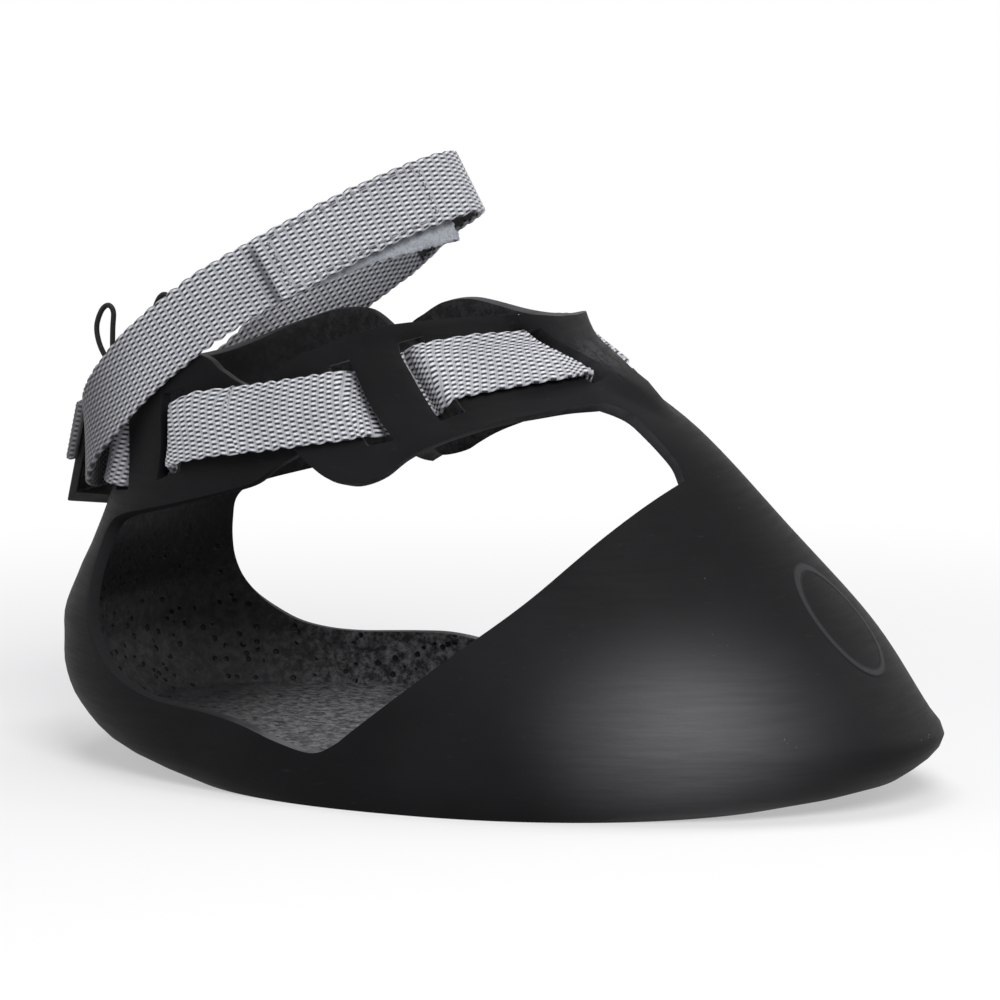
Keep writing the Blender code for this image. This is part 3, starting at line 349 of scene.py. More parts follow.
def lacing_depth(turn, z):
    outside = -(WEB_THICK / 2 + LACING_GAP)
    inside = WALL + WEB_THICK / 2 + LACING_GAP
    bar = 1 - through_slot("front", turn, z)
    share = bar + through_slot("bridge_front", turn, z) - through_slot("bridge_rear", turn, z)
    share = share + through_slot("heel_front", turn, z) - through_slot("heel_rear", turn, z)
    heel = turn > sum(SLOT_TURN["heel_front"]) / 2
    deeper = np.where(heel, draw_in(turn, z), 0)
    return outside + (inside + deeper - outside) * share + LACING_GAP * bar


# Mesh helpers
def add_mesh(name, points, faces, uvs=None, materials=(), indices=None):
    """An object from points in the heel frame, moved to the part's frame; uvs are one pair a point."""
    mesh = bpy.data.meshes.new(name)
    points = np.asarray(points, float) - ORIGIN
    mesh.from_pydata([], [], [])
    mesh.vertices.add(len(points))
    mesh.vertices.foreach_set("co", points.ravel())
    flat = [i for face in faces for i in face]
    starts = np.cumsum([0] + [len(face) for face in faces[:-1]])
    mesh.loops.add(len(flat))
    mesh.loops.foreach_set("vertex_index", flat)
    mesh.polygons.add(len(faces))
    mesh.polygons.foreach_set("loop_start", starts)
    if indices is not None:
        mesh.polygons.foreach_set("material_index", indices)
    if uvs is not None:
        layer = mesh.uv_layers.new(name="weave")
        layer.data.foreach_set("uv", np.asarray(uvs, float)[flat].ravel())
    mesh.update(calc_edges=True)
    mesh.validate()
    for item in materials:
        mesh.materials.append(item)
    mesh.shade_smooth()
    return link(bpy.data.objects.new(name, mesh))


def link(obj):
    bpy.context.scene.collection.objects.link(obj)
    return obj


def face_outwards(obj, merge=0):
    """Turns a closed mesh's faces outwards, after points nearer than merge become one."""
    bm = bmesh.new()
    bm.from_mesh(obj.data)
    if merge:
        bmesh.ops.remove_doubles(bm, verts=bm.verts, dist=merge)
        bmesh.ops.delete(bm, geom=[v for v in bm.verts if not v.link_faces], context="VERTS")
    bmesh.ops.recalc_face_normals(bm, faces=bm.faces)
    bm.to_mesh(obj.data)
    bm.free()
    return obj


def add_points(name, points, **fields):
    """An object of loose points in the part's frame."""
    mesh = bpy.data.meshes.new(name)
    mesh.from_pydata([tuple(p) for p in points], [], [])
    add_fields(mesh, **fields)
    return link(bpy.data.objects.new(name, mesh))


def add_fields(mesh, **fields):
    """Named values on the points of a mesh, for its tree to read."""
    for key, values in fields.items():
        values = np.asarray(values, float)
        vector = values.ndim == 2
        field = mesh.attributes.new(key, "FLOAT_VECTOR" if vector else "FLOAT", "POINT")
        field.data.foreach_set("vector" if vector else "value", values.ravel())


def apply_modifiers(obj):
    graph = bpy.context.evaluated_depsgraph_get()
    done = obj.evaluated_get(graph)
    mesh = bpy.data.meshes.new_from_object(done, preserve_all_data_layers=True, depsgraph=graph)
    obj.modifiers.clear()
    obj.data = mesh
    return obj


def round_edges(obj, width, steps, angle):
    round_off = obj.modifiers.new("edges", "BEVEL")
    round_off.width, round_off.segments, round_off.limit_method = width, steps, "ANGLE"
    round_off.angle_limit = math.radians(angle)
    return round_off


def smooth_below(mesh, angle):
    mesh.shade_smooth()
    mesh.set_sharp_from_angle(angle=math.radians(angle))


def inside(points, outline):
    """Which points lie inside a closed outline."""
    a = np.asarray(outline)
    b = np.roll(a, -1, axis=0)
    hit = np.zeros(len(points), bool)
    for (ax, ay), (bx, by) in zip(a, b):
        if ay == by:
            continue
        crosses = (ay > points[:, 1]) != (by > points[:, 1])
        hit ^= crosses & (points[:, 0] < (bx - ax) * (points[:, 1] - ay) / (by - ay) + ax)
    return hit


def clear_of(points, outline, distance):
    """Which points keep a distance from a closed outline."""
    a = np.asarray(outline)
    b = np.roll(a, -1, axis=0)
    keep = np.ones(len(points), bool)
    for p, q in zip(a, b):
        d = q - p
        t = np.clip(((points - p) @ d) / (d @ d), 0, 1)
        keep &= np.linalg.norm(points - p - t[:, None] * d, axis=1) > distance
    return keep


# Node trees
class Nodes:
    """A short way to write a node tree, of a finish or of geometry."""

    def __init__(self, tree):
        self.tree = tree

    def node(self, kind, **values):
        made = self.tree.nodes.new(kind)
        for key, value in values.items():
            setattr(made, key, value)
        return made

    def put(self, socket, value):
        if isinstance(value, bpy.types.NodeSocket):
            self.tree.links.new(value, socket)
        else:
            socket.default_value = value

    def math(self, operation, a, b=0.0):
        made = self.node("ShaderNodeMath", operation=operation)
        self.put(made.inputs[0], a)
        self.put(made.inputs[1], b)
        return made.outputs[0]

    def ramp(self, value, low, high, start=0.0, end=1.0):
        made = self.node("ShaderNodeMapRange", interpolation_type="SMOOTHSTEP")
        items = {"Value": value, "From Min": low, "From Max": high, "To Min": start, "To Max": end}
        for key, item in items.items():
            self.put(made.inputs[key], item)
        return made.outputs[0]

    def axes(self, vector):
        made = self.node("ShaderNodeSeparateXYZ")
        self.put(made.inputs[0], vector)
        return made.outputs

    def joined(self, x, y, z):
        made = self.node("ShaderNodeCombineXYZ")
        for socket, value in zip(made.inputs, (x, y, z)):
            self.put(socket, value)
        return made.outputs[0]

    def folded(self, value, phase=0.0):
        """How far a value lies from the middle of its unit step, from 0 to 0.5."""
        step = self.math("FRACT", self.math("ADD", value, phase))
        return self.math("ABSOLUTE", self.math("SUBTRACT", step, 0.5))

    def stagger(self, value):
        """Half a step on every other unit of a value."""
        return self.math("MULTIPLY", self.math("MODULO", self.math("FLOOR", value), 2.0), 0.5)


class Finish(Nodes):
    """A material round its Principled shader."""

    def __init__(self, name):
        self.material = bpy.data.materials.new(name)
        self.material.use_nodes = True
        super().__init__(self.material.node_tree)
        self.shader = self.tree.nodes["Principled BSDF"]
        self.shader.inputs["Metallic"].default_value = 0

    def mix(self, factor, a, b):
        made = self.node("ShaderNodeMix", data_type="RGBA")
        self.put(made.inputs["Factor"], factor)
        self.put(made.inputs[6], a)
        self.put(made.inputs[7], b)
        return made.outputs[2]

    def noise(self, where, scale, detail=2.0, rough=0.5):
        made = self.node("ShaderNodeTexNoise")
        self.put(made.inputs["Vector"], where)
        self.put(made.inputs["Scale"], scale)
        self.put(made.inputs["Detail"], detail)
        self.put(made.inputs["Roughness"], rough)
        return made.outputs["Fac"]

    def cells(self, where, scale):
        """How far a point lies from the nearest of many scattered ones."""
        made = self.node("ShaderNodeTexVoronoi", feature="F1")
        self.put(made.inputs["Vector"], where)
        self.put(made.inputs["Scale"], scale)
        return made.outputs["Distance"]

    def coordinates(self, output="Object"):
        return self.node("ShaderNodeTexCoord").outputs[output]

    def stretch(self, vector, scale):
        made = self.node("ShaderNodeMapping")
        self.put(made.inputs["Vector"], vector)
        made.inputs["Scale"].default_value = scale
        return made.outputs[0]

    def shifted(self, vector, by):
        made = self.node("ShaderNodeVectorMath", operation="ADD")
        self.put(made.inputs[0], vector)
        made.inputs[1].default_value = by
        return made.outputs[0]

    def bump(self, height, distance, strength=1.0, normal=None):
        made = self.node("ShaderNodeBump")
        self.put(made.inputs["Height"], height)
        self.put(made.inputs["Distance"], distance)
        self.put(made.inputs["Strength"], strength)
        if normal is not None:
            self.put(made.inputs["Normal"], normal)
        return made.outputs[0]

    def finish(self, **inputs):
        for key, value in inputs.items():
            self.put(self.shader.inputs[key.replace("_", " ")], value)
        return self.material


class Shape(Nodes):
    """A Geometry Nodes tree with named inputs for its sizes and its material."""

    def __init__(self, name, *sizes):
        super().__init__(bpy.data.node_groups.new(name, "GeometryNodeTree"))
        sockets = self.tree.interface
        for way in ("INPUT", "OUTPUT"):
            sockets.new_socket("Geometry", in_out=way, socket_type="NodeSocketGeometry")
        self.keys = {}
        for size in sizes:
            made = sockets.new_socket(size, in_out="INPUT", socket_type="NodeSocketFloat")
            self.keys[size] = made.identifier
        made = sockets.new_socket("Material", in_out="INPUT", socket_type="NodeSocketMaterial")
        self.keys["Material"] = made.identifier
        self.given = self.node("NodeGroupInput").outputs

    def field(self, name, kind="FLOAT"):
        made = self.node("GeometryNodeInputNamedAttribute", data_type=kind)
        self.put(made.inputs["Name"], name)
        return made.outputs["Attribute"]

    def moved(self, geometry, **places):
        made = self.node("GeometryNodeSetPosition")
        self.put(made.inputs["Geometry"], geometry)
        for key, value in places.items():
            self.put(made.inputs[key], value)
        return made.outputs["Geometry"]

    def repeated(self, piece, **places):
        """A piece at each of the given points."""
        made = self.node("GeometryNodeInstanceOnPoints")
        self.put(made.inputs["Points"], self.given["Geometry"])
        self.put(made.inputs["Instance"], piece)
        for key, value in places.items():
            self.put(made.inputs[key], value)
        return made.outputs["Instances"]

    def end(self, geometry):
        real = self.node("GeometryNodeRealizeInstances")
        finish = self.node("GeometryNodeSetMaterial")
        self.put(real.inputs["Geometry"], geometry)
        self.put(finish.inputs["Geometry"], real.outputs["Geometry"])
        self.put(finish.inputs["Material"], self.given["Material"])
        self.put(self.node("NodeGroupOutput").inputs["Geometry"], finish.outputs["Geometry"])
        return self

    def grow(self, obj, **values):
        """Runs the tree on an object and leaves a plain mesh."""
        modifier = obj.modifiers.new(self.tree.name, "NODES")
        modifier.node_group = self.tree
        for size, value in values.items():
            modifier[self.keys[size]] = value
        return apply_modifiers(obj)


# Finishes
def shade(color, times):
    return tuple(min(1.0, c * times) for c in color) + (1,)


def oval_rim(n, where):
    """1 on the thin raised oval rim on the toe."""
    place = n.axes(where)
    wide = n.math("DIVIDE", n.math("SUBTRACT", place[1], OVAL_PLACE[1]), OVAL_HALF[0])
    tall = n.math("DIVIDE", n.math("SUBTRACT", place[2], OVAL_PLACE[2]), OVAL_HALF[1])
    turned = n.math("SUBTRACT", wide, n.math("MULTIPLY", tall, 0.15))
    away = n.math("SQRT", n.math("ADD", n.math("MULTIPLY", turned, turned), n.math("MULTIPLY", tall, tall)))
    rim = n.ramp(n.math("ABSOLUTE", n.math("SUBTRACT", away, 1.0)), 0.10, 0.03)
    return n.math("MULTIPLY", rim, n.ramp(place[0], 0.04, 0.05))


def rubber_outside():
    n = Finish("rubber_outside")
    where = n.coordinates()
    place = n.axes(where)
    broad = n.noise(where, 22.0, 3.0)
    fine = n.noise(where, 900.0, 3.0, 0.6)
    grain = n.noise(where, 2600.0, 2.0)
    streaks = n.noise(n.stretch(where, (60.0, 60.0, 900.0)), 1.0, 4.0, 0.65)
    scuff = n.ramp(n.noise(n.stretch(where, (220.0, 220.0, 900.0)), 1.0, 5.0, 0.7), 0.60, 0.78)
    dusty = n.ramp(n.noise(where, 70.0, 2.0), 0.62, 0.70)
    dust = n.math("MULTIPLY", n.ramp(n.cells(where, 330.0), 0.09, 0.05), dusty)
    worn = n.math("MULTIPLY", n.ramp(place[2], 0.104, 0.112), n.ramp(place[0], 0.020, 0.032))
    worn = n.math("MULTIPLY", worn, n.ramp(n.noise(where, 320.0, 4.0, 0.7), 0.45, 0.62))
    color = n.mix(n.ramp(broad, 0.35, 0.7), (0.0040, 0.0040, 0.0046, 1), (0.0080, 0.0080, 0.0088, 1))
    color = n.mix(n.math("MULTIPLY", scuff, 0.2), color, (0.05, 0.05, 0.053, 1))
    color = n.mix(n.math("MULTIPLY", dust, 0.5), color, (0.25, 0.25, 0.26, 1))
    color = n.mix(n.math("MULTIPLY", worn, 0.6), color, (0.06, 0.06, 0.064, 1))
    # Painted highlight: a lighter, less rough, streaked patch on the toe stands in for a broad sheen of light
    glow = n.node("ShaderNodeVectorMath", operation="LENGTH")
    n.put(glow.inputs[0], n.stretch(n.shifted(where, (-0.067, 0.041, -0.022)), (27.0, 27.0, 40.0)))
    fall = n.math("POWER", n.ramp(glow.outputs["Value"], 1.7, 0.0), 2.2)
    painted_sheen = n.math("MULTIPLY", fall, n.ramp(streaks, 0.3, 0.7, 0.8, 1.0))
    color = n.mix(n.math("MULTIPLY", painted_sheen, 0.9), color, (0.125, 0.126, 0.130, 1))
    rim = oval_rim(n, where)
    color = n.mix(n.math("MULTIPLY", rim, 0.5), color, (0.05, 0.05, 0.053, 1))
    rough = n.math("ADD", n.ramp(streaks, 0.3, 0.75, 0.54, 0.62), n.math("MULTIPLY", painted_sheen, -0.22))
    texture = n.math("ADD", n.math("MULTIPLY", fine, 0.6), n.math("MULTIPLY", grain, 0.4))
    normal = n.bump(texture, 0.00012, 0.5)
    normal = n.bump(broad, 0.0012, 0.35, normal)
    normal = n.bump(rim, 0.0006, 1.0, normal)
    return n.finish(Base_Color=color, Roughness=rough, Normal=normal, Specular_IOR_Level=0.08)


def rubber_edge():
    """The moulding's cut edges, worn paler where the toe shell ends."""
    n = Finish("rubber_edge")
    where = n.coordinates()
    place = n.axes(where)
    patches = n.ramp(n.noise(where, 150.0, 3.0), 0.3, 0.6, 0.4, 1.0)
    worn = n.math("MULTIPLY", n.ramp(place[0], -0.050, -0.030), patches)
    worn = n.math("MULTIPLY", worn, n.ramp(place[2], 0.085, 0.045, 0.35, 1.0))
    color = n.mix(worn, (0.007, 0.007, 0.008, 1), (0.095, 0.096, 0.100, 1))
    normal = n.bump(n.noise(where, 700.0, 4.0, 0.6), 0.00015, 0.6)
    return n.finish(Base_Color=color, Roughness=0.6, Normal=normal, Specular_IOR_Level=0.12)


def rubber_inside():
    n = Finish("rubber_inside")
    where = n.coordinates()
    place = n.axes(where)
    low = n.ramp(place[2], 0.060, 0.036)
    warp = n.node("ShaderNodeVectorMath", operation="ADD")
    shift = n.node("ShaderNodeTexNoise")
    n.put(shift.inputs["Vector"], where)
    n.put(shift.inputs["Scale"], 160.0)
    scaled = n.node("ShaderNodeVectorMath", operation="SCALE")
    n.put(scaled.inputs[0], shift.outputs["Color"])
    scaled.inputs["Scale"].default_value = 0.0006
    n.put(warp.inputs[0], where)
    n.put(warp.inputs[1], scaled.outputs[0])
    pit = n.ramp(n.cells(warp.outputs[0], 300.0), 0.27, 0.18)
    chosen = n.ramp(n.noise(where, 260.0, 0.0), 0.40, 0.48)
    pit = n.math("MULTIPLY", n.math("MULTIPLY", pit, chosen), low)
    rough_height = n.noise(where, 420.0, 6.0, 0.75)
    streak = n.noise(n.stretch(where, (350.0, 350.0, 60.0)), 1.0, 4.0, 0.6)
    # Painted light: the pale rough ground and pale streaks are strongest low on the floor and towards the
    # front, fading towards the heel and up the walls
    lit = n.math("MULTIPLY", n.ramp(low, 0.0, 1.0, 0.2, 1.0), n.ramp(place[0], -0.095, -0.055, 0.12, 1.0))
    pale = n.math("MULTIPLY", n.ramp(rough_height, 0.38, 0.72), lit)
    color = n.mix(n.math("MULTIPLY", pale, 0.9), (0.010, 0.010, 0.011, 1), (0.19, 0.19, 0.197, 1))
    streaked = n.math("MULTIPLY", n.ramp(streak, 0.6, 0.75, 0.0, 0.3), lit)
    color = n.mix(streaked, color, (0.12, 0.12, 0.125, 1))
    # Painted shade: the pits are painted near-black, on top of their bump
    color = n.mix(pit, color, (0.0015, 0.0015, 0.0015, 1))
    height = n.math("SUBTRACT", n.math("MULTIPLY", rough_height, 0.45), n.math("MULTIPLY", pit, 1.6))
    normal = n.bump(height, 0.0008, 0.8)
    return n.finish(Base_Color=color, Roughness=n.ramp(rough_height, 0.3, 0.7, 0.62, 0.45), Normal=normal,
                    Specular_IOR_Level=0.15)


def webbing(name, light=(0.50, 0.505, 0.54), dark=(0.018, 0.018, 0.02)):
    n = Finish(name)
    uv = n.coordinates("UV")
    place = n.axes(uv)
    # Painted shade: the gaps between the yarn bumps are painted dark, nearly black
    across = n.folded(place[0], n.stagger(place[1]))
    length = n.folded(place[1])
    dash = n.math("MULTIPLY", n.ramp(across, 0.18, 0.36), n.ramp(length, 0.46, 0.26))
    rib = n.math("MULTIPLY", n.ramp(length, 0.34, 0.5), 0.35)
    seam = n.math("MULTIPLY", n.ramp(across, 0.32, 0.5), 0.35)
    gap = n.math("MAXIMUM", dash, n.math("MAXIMUM", rib, seam))
    where = n.coordinates()
    yarn = n.noise(n.stretch(uv, (9.0, 1.6, 1.0)), 1.0, 3.0, 0.7)
    soil = n.noise(where, 60.0, 3.0)
    color = n.mix(n.ramp(yarn, 0.3, 0.7), shade(light, 0.72), shade(light, 1))
    # Painted highlight: each yarn bump is painted lighter towards its crown
    crown_highlight = n.math("MULTIPLY", n.ramp(across, 0.34, 0.04), n.ramp(length, 0.36, 0.04))
    color = n.mix(n.math("MULTIPLY", crown_highlight, 0.85), color, shade(light, 1.5))
    color = n.mix(n.ramp(soil, 0.45, 0.75, 0.0, 0.25), color, shade(light, 0.55))
    color = n.mix(gap, color, shade(dark, 1))
    # Painted shade: the webbing is darkened towards the heel end
    heel_end_painted_shade = n.ramp(n.axes(where)[0], -0.078, -0.106, 0.0, 0.75)
    color = n.mix(heel_end_painted_shade, color, shade(dark, 1))
    normal = n.bump(n.noise(n.stretch(uv, (14.0, 2.0, 1.0)), 1.0, 2.0), 0.00012, 0.6)
    return n.finish(Base_Color=color, Roughness=n.ramp(yarn, 0.3, 0.7, 0.62, 0.48), Normal=normal,
                    Sheen_Weight=0.08, Sheen_Roughness=0.4, Specular_IOR_Level=0.3)


def plain(name, color, rough, grain=700.0, depth=0.00015):
    n = Finish(name)
    where = n.coordinates()
    fine = n.noise(where, grain, 4.0, 0.6)
    broad = n.noise(where, 45.0, 2.0)
    tone = n.mix(n.ramp(broad, 0.35, 0.7), shade(color, 0.75), shade(color, 1.2))
    return n.finish(Base_Color=tone, Roughness=n.ramp(fine, 0.3, 0.7, rough - 0.08, rough + 0.08),
                    Normal=n.bump(fine, depth, 0.6), Specular_IOR_Level=0.25)


def pile(name, color, rough):
    n = Finish(name)
    where = n.coordinates()
    fuzz = n.noise(where, 1500.0, 5.0, 0.8)
    clumps = n.noise(where, 350.0, 3.0)
    tone = n.mix(n.ramp(fuzz, 0.3, 0.7), shade(color, 0.6), shade(color, 1))
    height = n.math("ADD", n.math("MULTIPLY", fuzz, 0.5), clumps)
    return n.finish(Base_Color=tone, Roughness=rough, Normal=n.bump(height, 0.0006, 0.8), Sheen_Weight=0.2,
                    Sheen_Roughness=0.6, Specular_IOR_Level=0.1)


# The moulding
def edge_line(shares):
    """A free edge's points as turns and heights, evenly spaced."""
    points = np.array([(x * LENGTH, z * HEIGHT) for x, z in shares])
    line = spaced(through(points, 10), EDGE)
    return np.stack([turn_at(line[:, 0], line[:, 1]), line[:, 1]], 1)


def straight(a, b, count):
    count = max(1, round(count))
    return [(a[0] + (b[0] - a[0]) * k / count, a[1] + (b[1] - a[1]) * k / count) for k in range(count)]


def wing_joint(side):
    upper, lower = HEEL_WING_TIP[side][0], HEEL_WING_TIP[side][-1]
    ends = [(float(turn_at(x * LENGTH, z * HEIGHT)), z * HEIGHT) for x, z in (upper, lower)]
    return straight(ends[0], ends[1], (ends[0][1] - ends[1][1]) / EDGE) + [ends[1]]


def pairs(line):
    return [tuple(p) for p in line]


def outlines(side):
    """The wall's outline without the heel wing's tip, the tip's outline, and the line where they join."""
    top = edge_line(HEEL_WING_TOP[side])
    top[0, 0] = 1
    joint = wing_joint(side)
    rear, neck, wing = (edge_line(t) for t in (SIDE_OPENING_REAR[side], NECK_SIDE, FRONT_WING[side]))
    wing[-1, 0] = 0
    main = pairs(top[:-1]) + joint[:-1] + pairs(rear[:-1]) + pairs(neck[:-1]) + pairs(wing[:-1])
    main += straight(wing[-1], (0.0, 0.0), wing[-1][1] / EDGE)
    main += straight((0.0, 0.0), (1.0, 0.0), 240)
    main += straight((1.0, 0.0), tuple(top[0]), top[0][1] / EDGE)
    tip = pairs(edge_line(HEEL_WING_TIP[side])[:-1]) + joint[::-1][:-1]
    return main, tip, joint


def slot_outline(name):
    a, b, c, d = slot_corners(name)
    steps = (c[1] - b[1]) / EDGE
    ends = SLOT_WIDTH / EDGE
    return straight(a, b, ends) + straight(b, c, steps) + straight(c, d, ends) + straight(d, a, steps)


def pull_hole():
    level = PULL_LEVEL * HEIGHT
    turn = side_turn(PULL_SPREAD / 2, level)
    run = float(np.linalg.norm(slopes(np.array(turn), np.array(level))[0]))
    half_width, half_height = CORD + FIT * 3, CORD / 2 + FIT * 2
    angles = [(k + 0.5) * math.pi / 8 for k in range(16)]
    return [(turn + half_width * math.cos(a) / run, level + half_height * math.sin(a)) for a in angles]


def flat_pattern(outline, holes):
    """Triangles over an outline with holes, on the wall unrolled by its turns."""
    flat = np.array(outline) * (LENGTH, 1)
    flat_holes = [np.array(hole) * (LENGTH, 1) for hole in holes]
    points, edges = [], []
    for line in [flat] + flat_holes:
        first = len(points)
        points += [tuple(p) for p in line]
        edges += [(first + k, first + (k + 1) % len(line)) for k in range(len(line))]
    low, high = flat.min(0), flat.max(0)
    rows = round((high[1] - low[1]) / GRID)
    grid = []
    for i in range(1, rows):
        xs = np.arange(low[0] + (i % 2) * GRID / 2 + GRID * 0.3, high[0], GRID)
        grid.append(np.stack([xs, np.full_like(xs, low[1] + i * (high[1] - low[1]) / rows)], 1))
    grid = np.concatenate(grid)
    keep = inside(grid, flat) & clear_of(grid, flat, GRID * 0.45)
    for hole in flat_holes:
        keep &= ~inside(grid, hole) & clear_of(grid, hole, GRID * 0.45)
    points += [tuple(p) for p in grid[keep]]
    made = delaunay_2d_cdt([Vector(p) for p in points], edges, [], 0, 1e-8)
    corners = np.array([tuple(p) for p in made[0]])
    faces = np.array([f for f in made[2]])
    middle = corners[faces].mean(1)
    a, b, c = (corners[faces[:, k]] for k in range(3))
    area = np.abs((b - a)[:, 0] * (c - a)[:, 1] - (b - a)[:, 1] * (c - a)[:, 0])
    good = inside(middle, flat) & (area > 1e-9)
    for hole in flat_holes:
        good &= ~inside(middle, hole)
    corners[:, 0] = np.round(corners[:, 0] / LENGTH, 6)
    return corners, faces[good]


def wall_side(side):
    """One side of the wall: points, outer faces, inner faces, edge faces and the points on the ground."""
    main, tip, joint = outlines(side)
    holes = [slot_outline(name) for name in SLOT_TURN] + [pull_hole()]
    joint = np.array(joint)
    points_outer, points_inner, faces_all = [], [], []
    start = 0
    for outline, cut, is_tip in ((main, holes, False), (tip, [], True)):
        corners, faces = flat_pattern(outline, cut)
        turn, z = corners[:, 0].copy(), corners[:, 1].copy()
        gap = np.abs((turn[:, None] - joint[None, :, 0]) * LENGTH) + np.abs(z[:, None] - joint[None, :, 1])
        near = gap.min(1) < 1e-4
        turn[near] = joint[gap.argmin(1)[near], 0]
        z[near] = joint[gap.argmin(1)[near], 1]
        turn = np.where(turn < 1e-5, 0, np.where(turn > 1 - 1e-5, 1, turn))
        heel_wing = (z > DRAW_IN_HEIGHT[0] * HEIGHT) & (turn > joint[0, 0] - 1e-6) | is_tip
        deeper = np.where(heel_wing, draw_in(turn, z), 0)
        inner_z = np.where(z < FLOOR_BLEND, FLOOR + z * (1 - FLOOR / FLOOR_BLEND), z)
        outer = wall_point(turn, z, deeper - bar_rise(turn, z))
        inner = wall_point(turn, inner_z, deeper + WALL)
        flat = (turn == 0) | (turn == 1)
        outer[flat, 1] = 0
        inner[flat, 1] = 0
        points_outer.append(outer)
        points_inner.append(inner)
        faces_all.append(faces + start)
        start += len(corners)
    outer, inner = np.concatenate(points_outer), np.concatenate(points_inner)
    faces = np.concatenate(faces_all)
    keys = {}
    remap = np.arange(len(outer))
    for i, p in enumerate(np.round(outer, 7)):
        remap[i] = keys.setdefault(tuple(p), i)
    faces = remap[faces]
    count = len(outer)
    uses = {}
    for f in faces:
        for a, b in ((f[0], f[1]), (f[1], f[2]), (f[2], f[0])):
            uses.setdefault((min(a, b), max(a, b)), []).append((a, b))
    sides, base = [], set()
    for pair in uses.values():
        if len(pair) > 1:
            continue
        a, b = pair[0]
        if abs(outer[a, 1]) < 1e-9 and abs(outer[b, 1]) < 1e-9:
            continue
        if outer[a, 2] < 1e-7 and outer[b, 2] < 1e-7:
            base |= {a, b}
            continue
        sides.append((a, a + count, b + count, b))
    points = np.concatenate([outer, inner]) * (1, -side, 1)
    order = sorted(base, key=lambda i: outer[i, 0])
    faces_in = [tuple(reversed(f + count)) for f in faces]
    return points, [tuple(f) for f in faces], faces_in, sides, order, count


def moulding():
    points, all_faces, kinds, grounds = [], [], [], []
    start = 0
    for side in (NEAR, FAR):
        made, faces_out, faces_in, sides, order, count = wall_side(side)
        for group, kind in ((faces_out, 0), (faces_in, 1), (sides, 2)):
            all_faces += [tuple(i + start for i in (f if side == NEAR else reversed(f))) for f in group]
            kinds += [kind] * len(group)
        grounds.append([[i + start for i in order], [i + start + count for i in order]])
        points.append(made)
        start += len(made)
    points = np.concatenate(points)
    for layer in (0, 1):
        near, far = grounds[0][layer], grounds[1][layer]
        for k in range(len(near) - 1):
            all_faces.append((near[k], near[k + 1], far[k + 1], far[k]))
            kinds.append(layer)
    skins = (MAT["outside"], MAT["inside"], MAT["edge"])
    made = face_outwards(add_mesh("moulding", points, all_faces, materials=skins, indices=kinds), merge=2e-6)
    cut = grooves()
    carve = made.modifiers.new("grooves", "BOOLEAN")
    carve.operation, carve.solver, carve.object = "DIFFERENCE", "EXACT", cut
    round_edges(made, ROUND_EDGE, ROUND_STEPS, ROUND_FROM)
    apply_modifiers(made)
    bpy.data.objects.remove(cut, do_unlink=True)
    smooth_below(made.data, SHARP_FROM)
    return made


def tread_tree():
    """A cutting bar across the sole at each point, as far to both sides as the point's reach."""
    n = Shape("tread", "Width", "Depth")
    bar = n.node("GeometryNodeMeshCube").outputs["Mesh"]
    size = n.joined(n.given["Width"], n.math("MULTIPLY", n.field("reach"), 2.0), n.given["Depth"])
    return n.end(n.repeated(bar, Scale=size))


def grooves():
    """Cutter for the tread's grooves."""
    heel = float(smooth(HEEL_LINE, 0)) * LENGTH
    first, last = heel + GROOVE_INSET, LENGTH - heel - GROOVE_INSET
    places = first + (last - first) * (np.arange(GROOVES) + 0.5) / GROOVES
    reaches = []
    for x in places:
        edges = (float(skin(turn_at(x + side * GROOVE_WIDTH / 2, 0), 0)[1]) for side in (-1, 1))
        reaches.append(-max(edges) - GROOVE_INSET)
    cutter = add_points("grooves", [(x - LENGTH / 2, 0, 0) for x in places], reach=reaches)
    return tread_tree().grow(cutter, Width=GROOVE_WIDTH, Depth=GROOVE_CUT, Material=MAT["outside"])


# Webbing
def weave_tree():
    """Raises a band to its weave: a bump for each warp and rib, staggered from rib to rib."""
    n = Shape("weave", "Height")
    warp, rib = n.field("warp"), n.field("rib")
    domes = []
    for away, fullness in ((n.folded(warp, n.stagger(rib)), 2.4), (n.folded(rib), 3.0)):
        fall = n.math("POWER", n.math("MULTIPLY", away, 2.0), fullness)
        domes.append(n.math("SQRT", n.math("MAXIMUM", n.math("SUBTRACT", 1.0, fall), 0.0)))
    bump = n.math("MULTIPLY", domes[1], n.math("ADD", n.math("MULTIPLY", domes[0], 0.5), 0.5))
    raised = n.node("ShaderNodeVectorMath", operation="SCALE")
    n.put(raised.inputs[0], n.field("rise", "FLOAT_VECTOR"))
    n.put(raised.inputs["Scale"], n.math("MULTIPLY", bump, n.given["Height"]))
    return n.end(n.moved(n.given["Geometry"], Offset=raised.outputs[0]))


WEAVE = weave_tree()


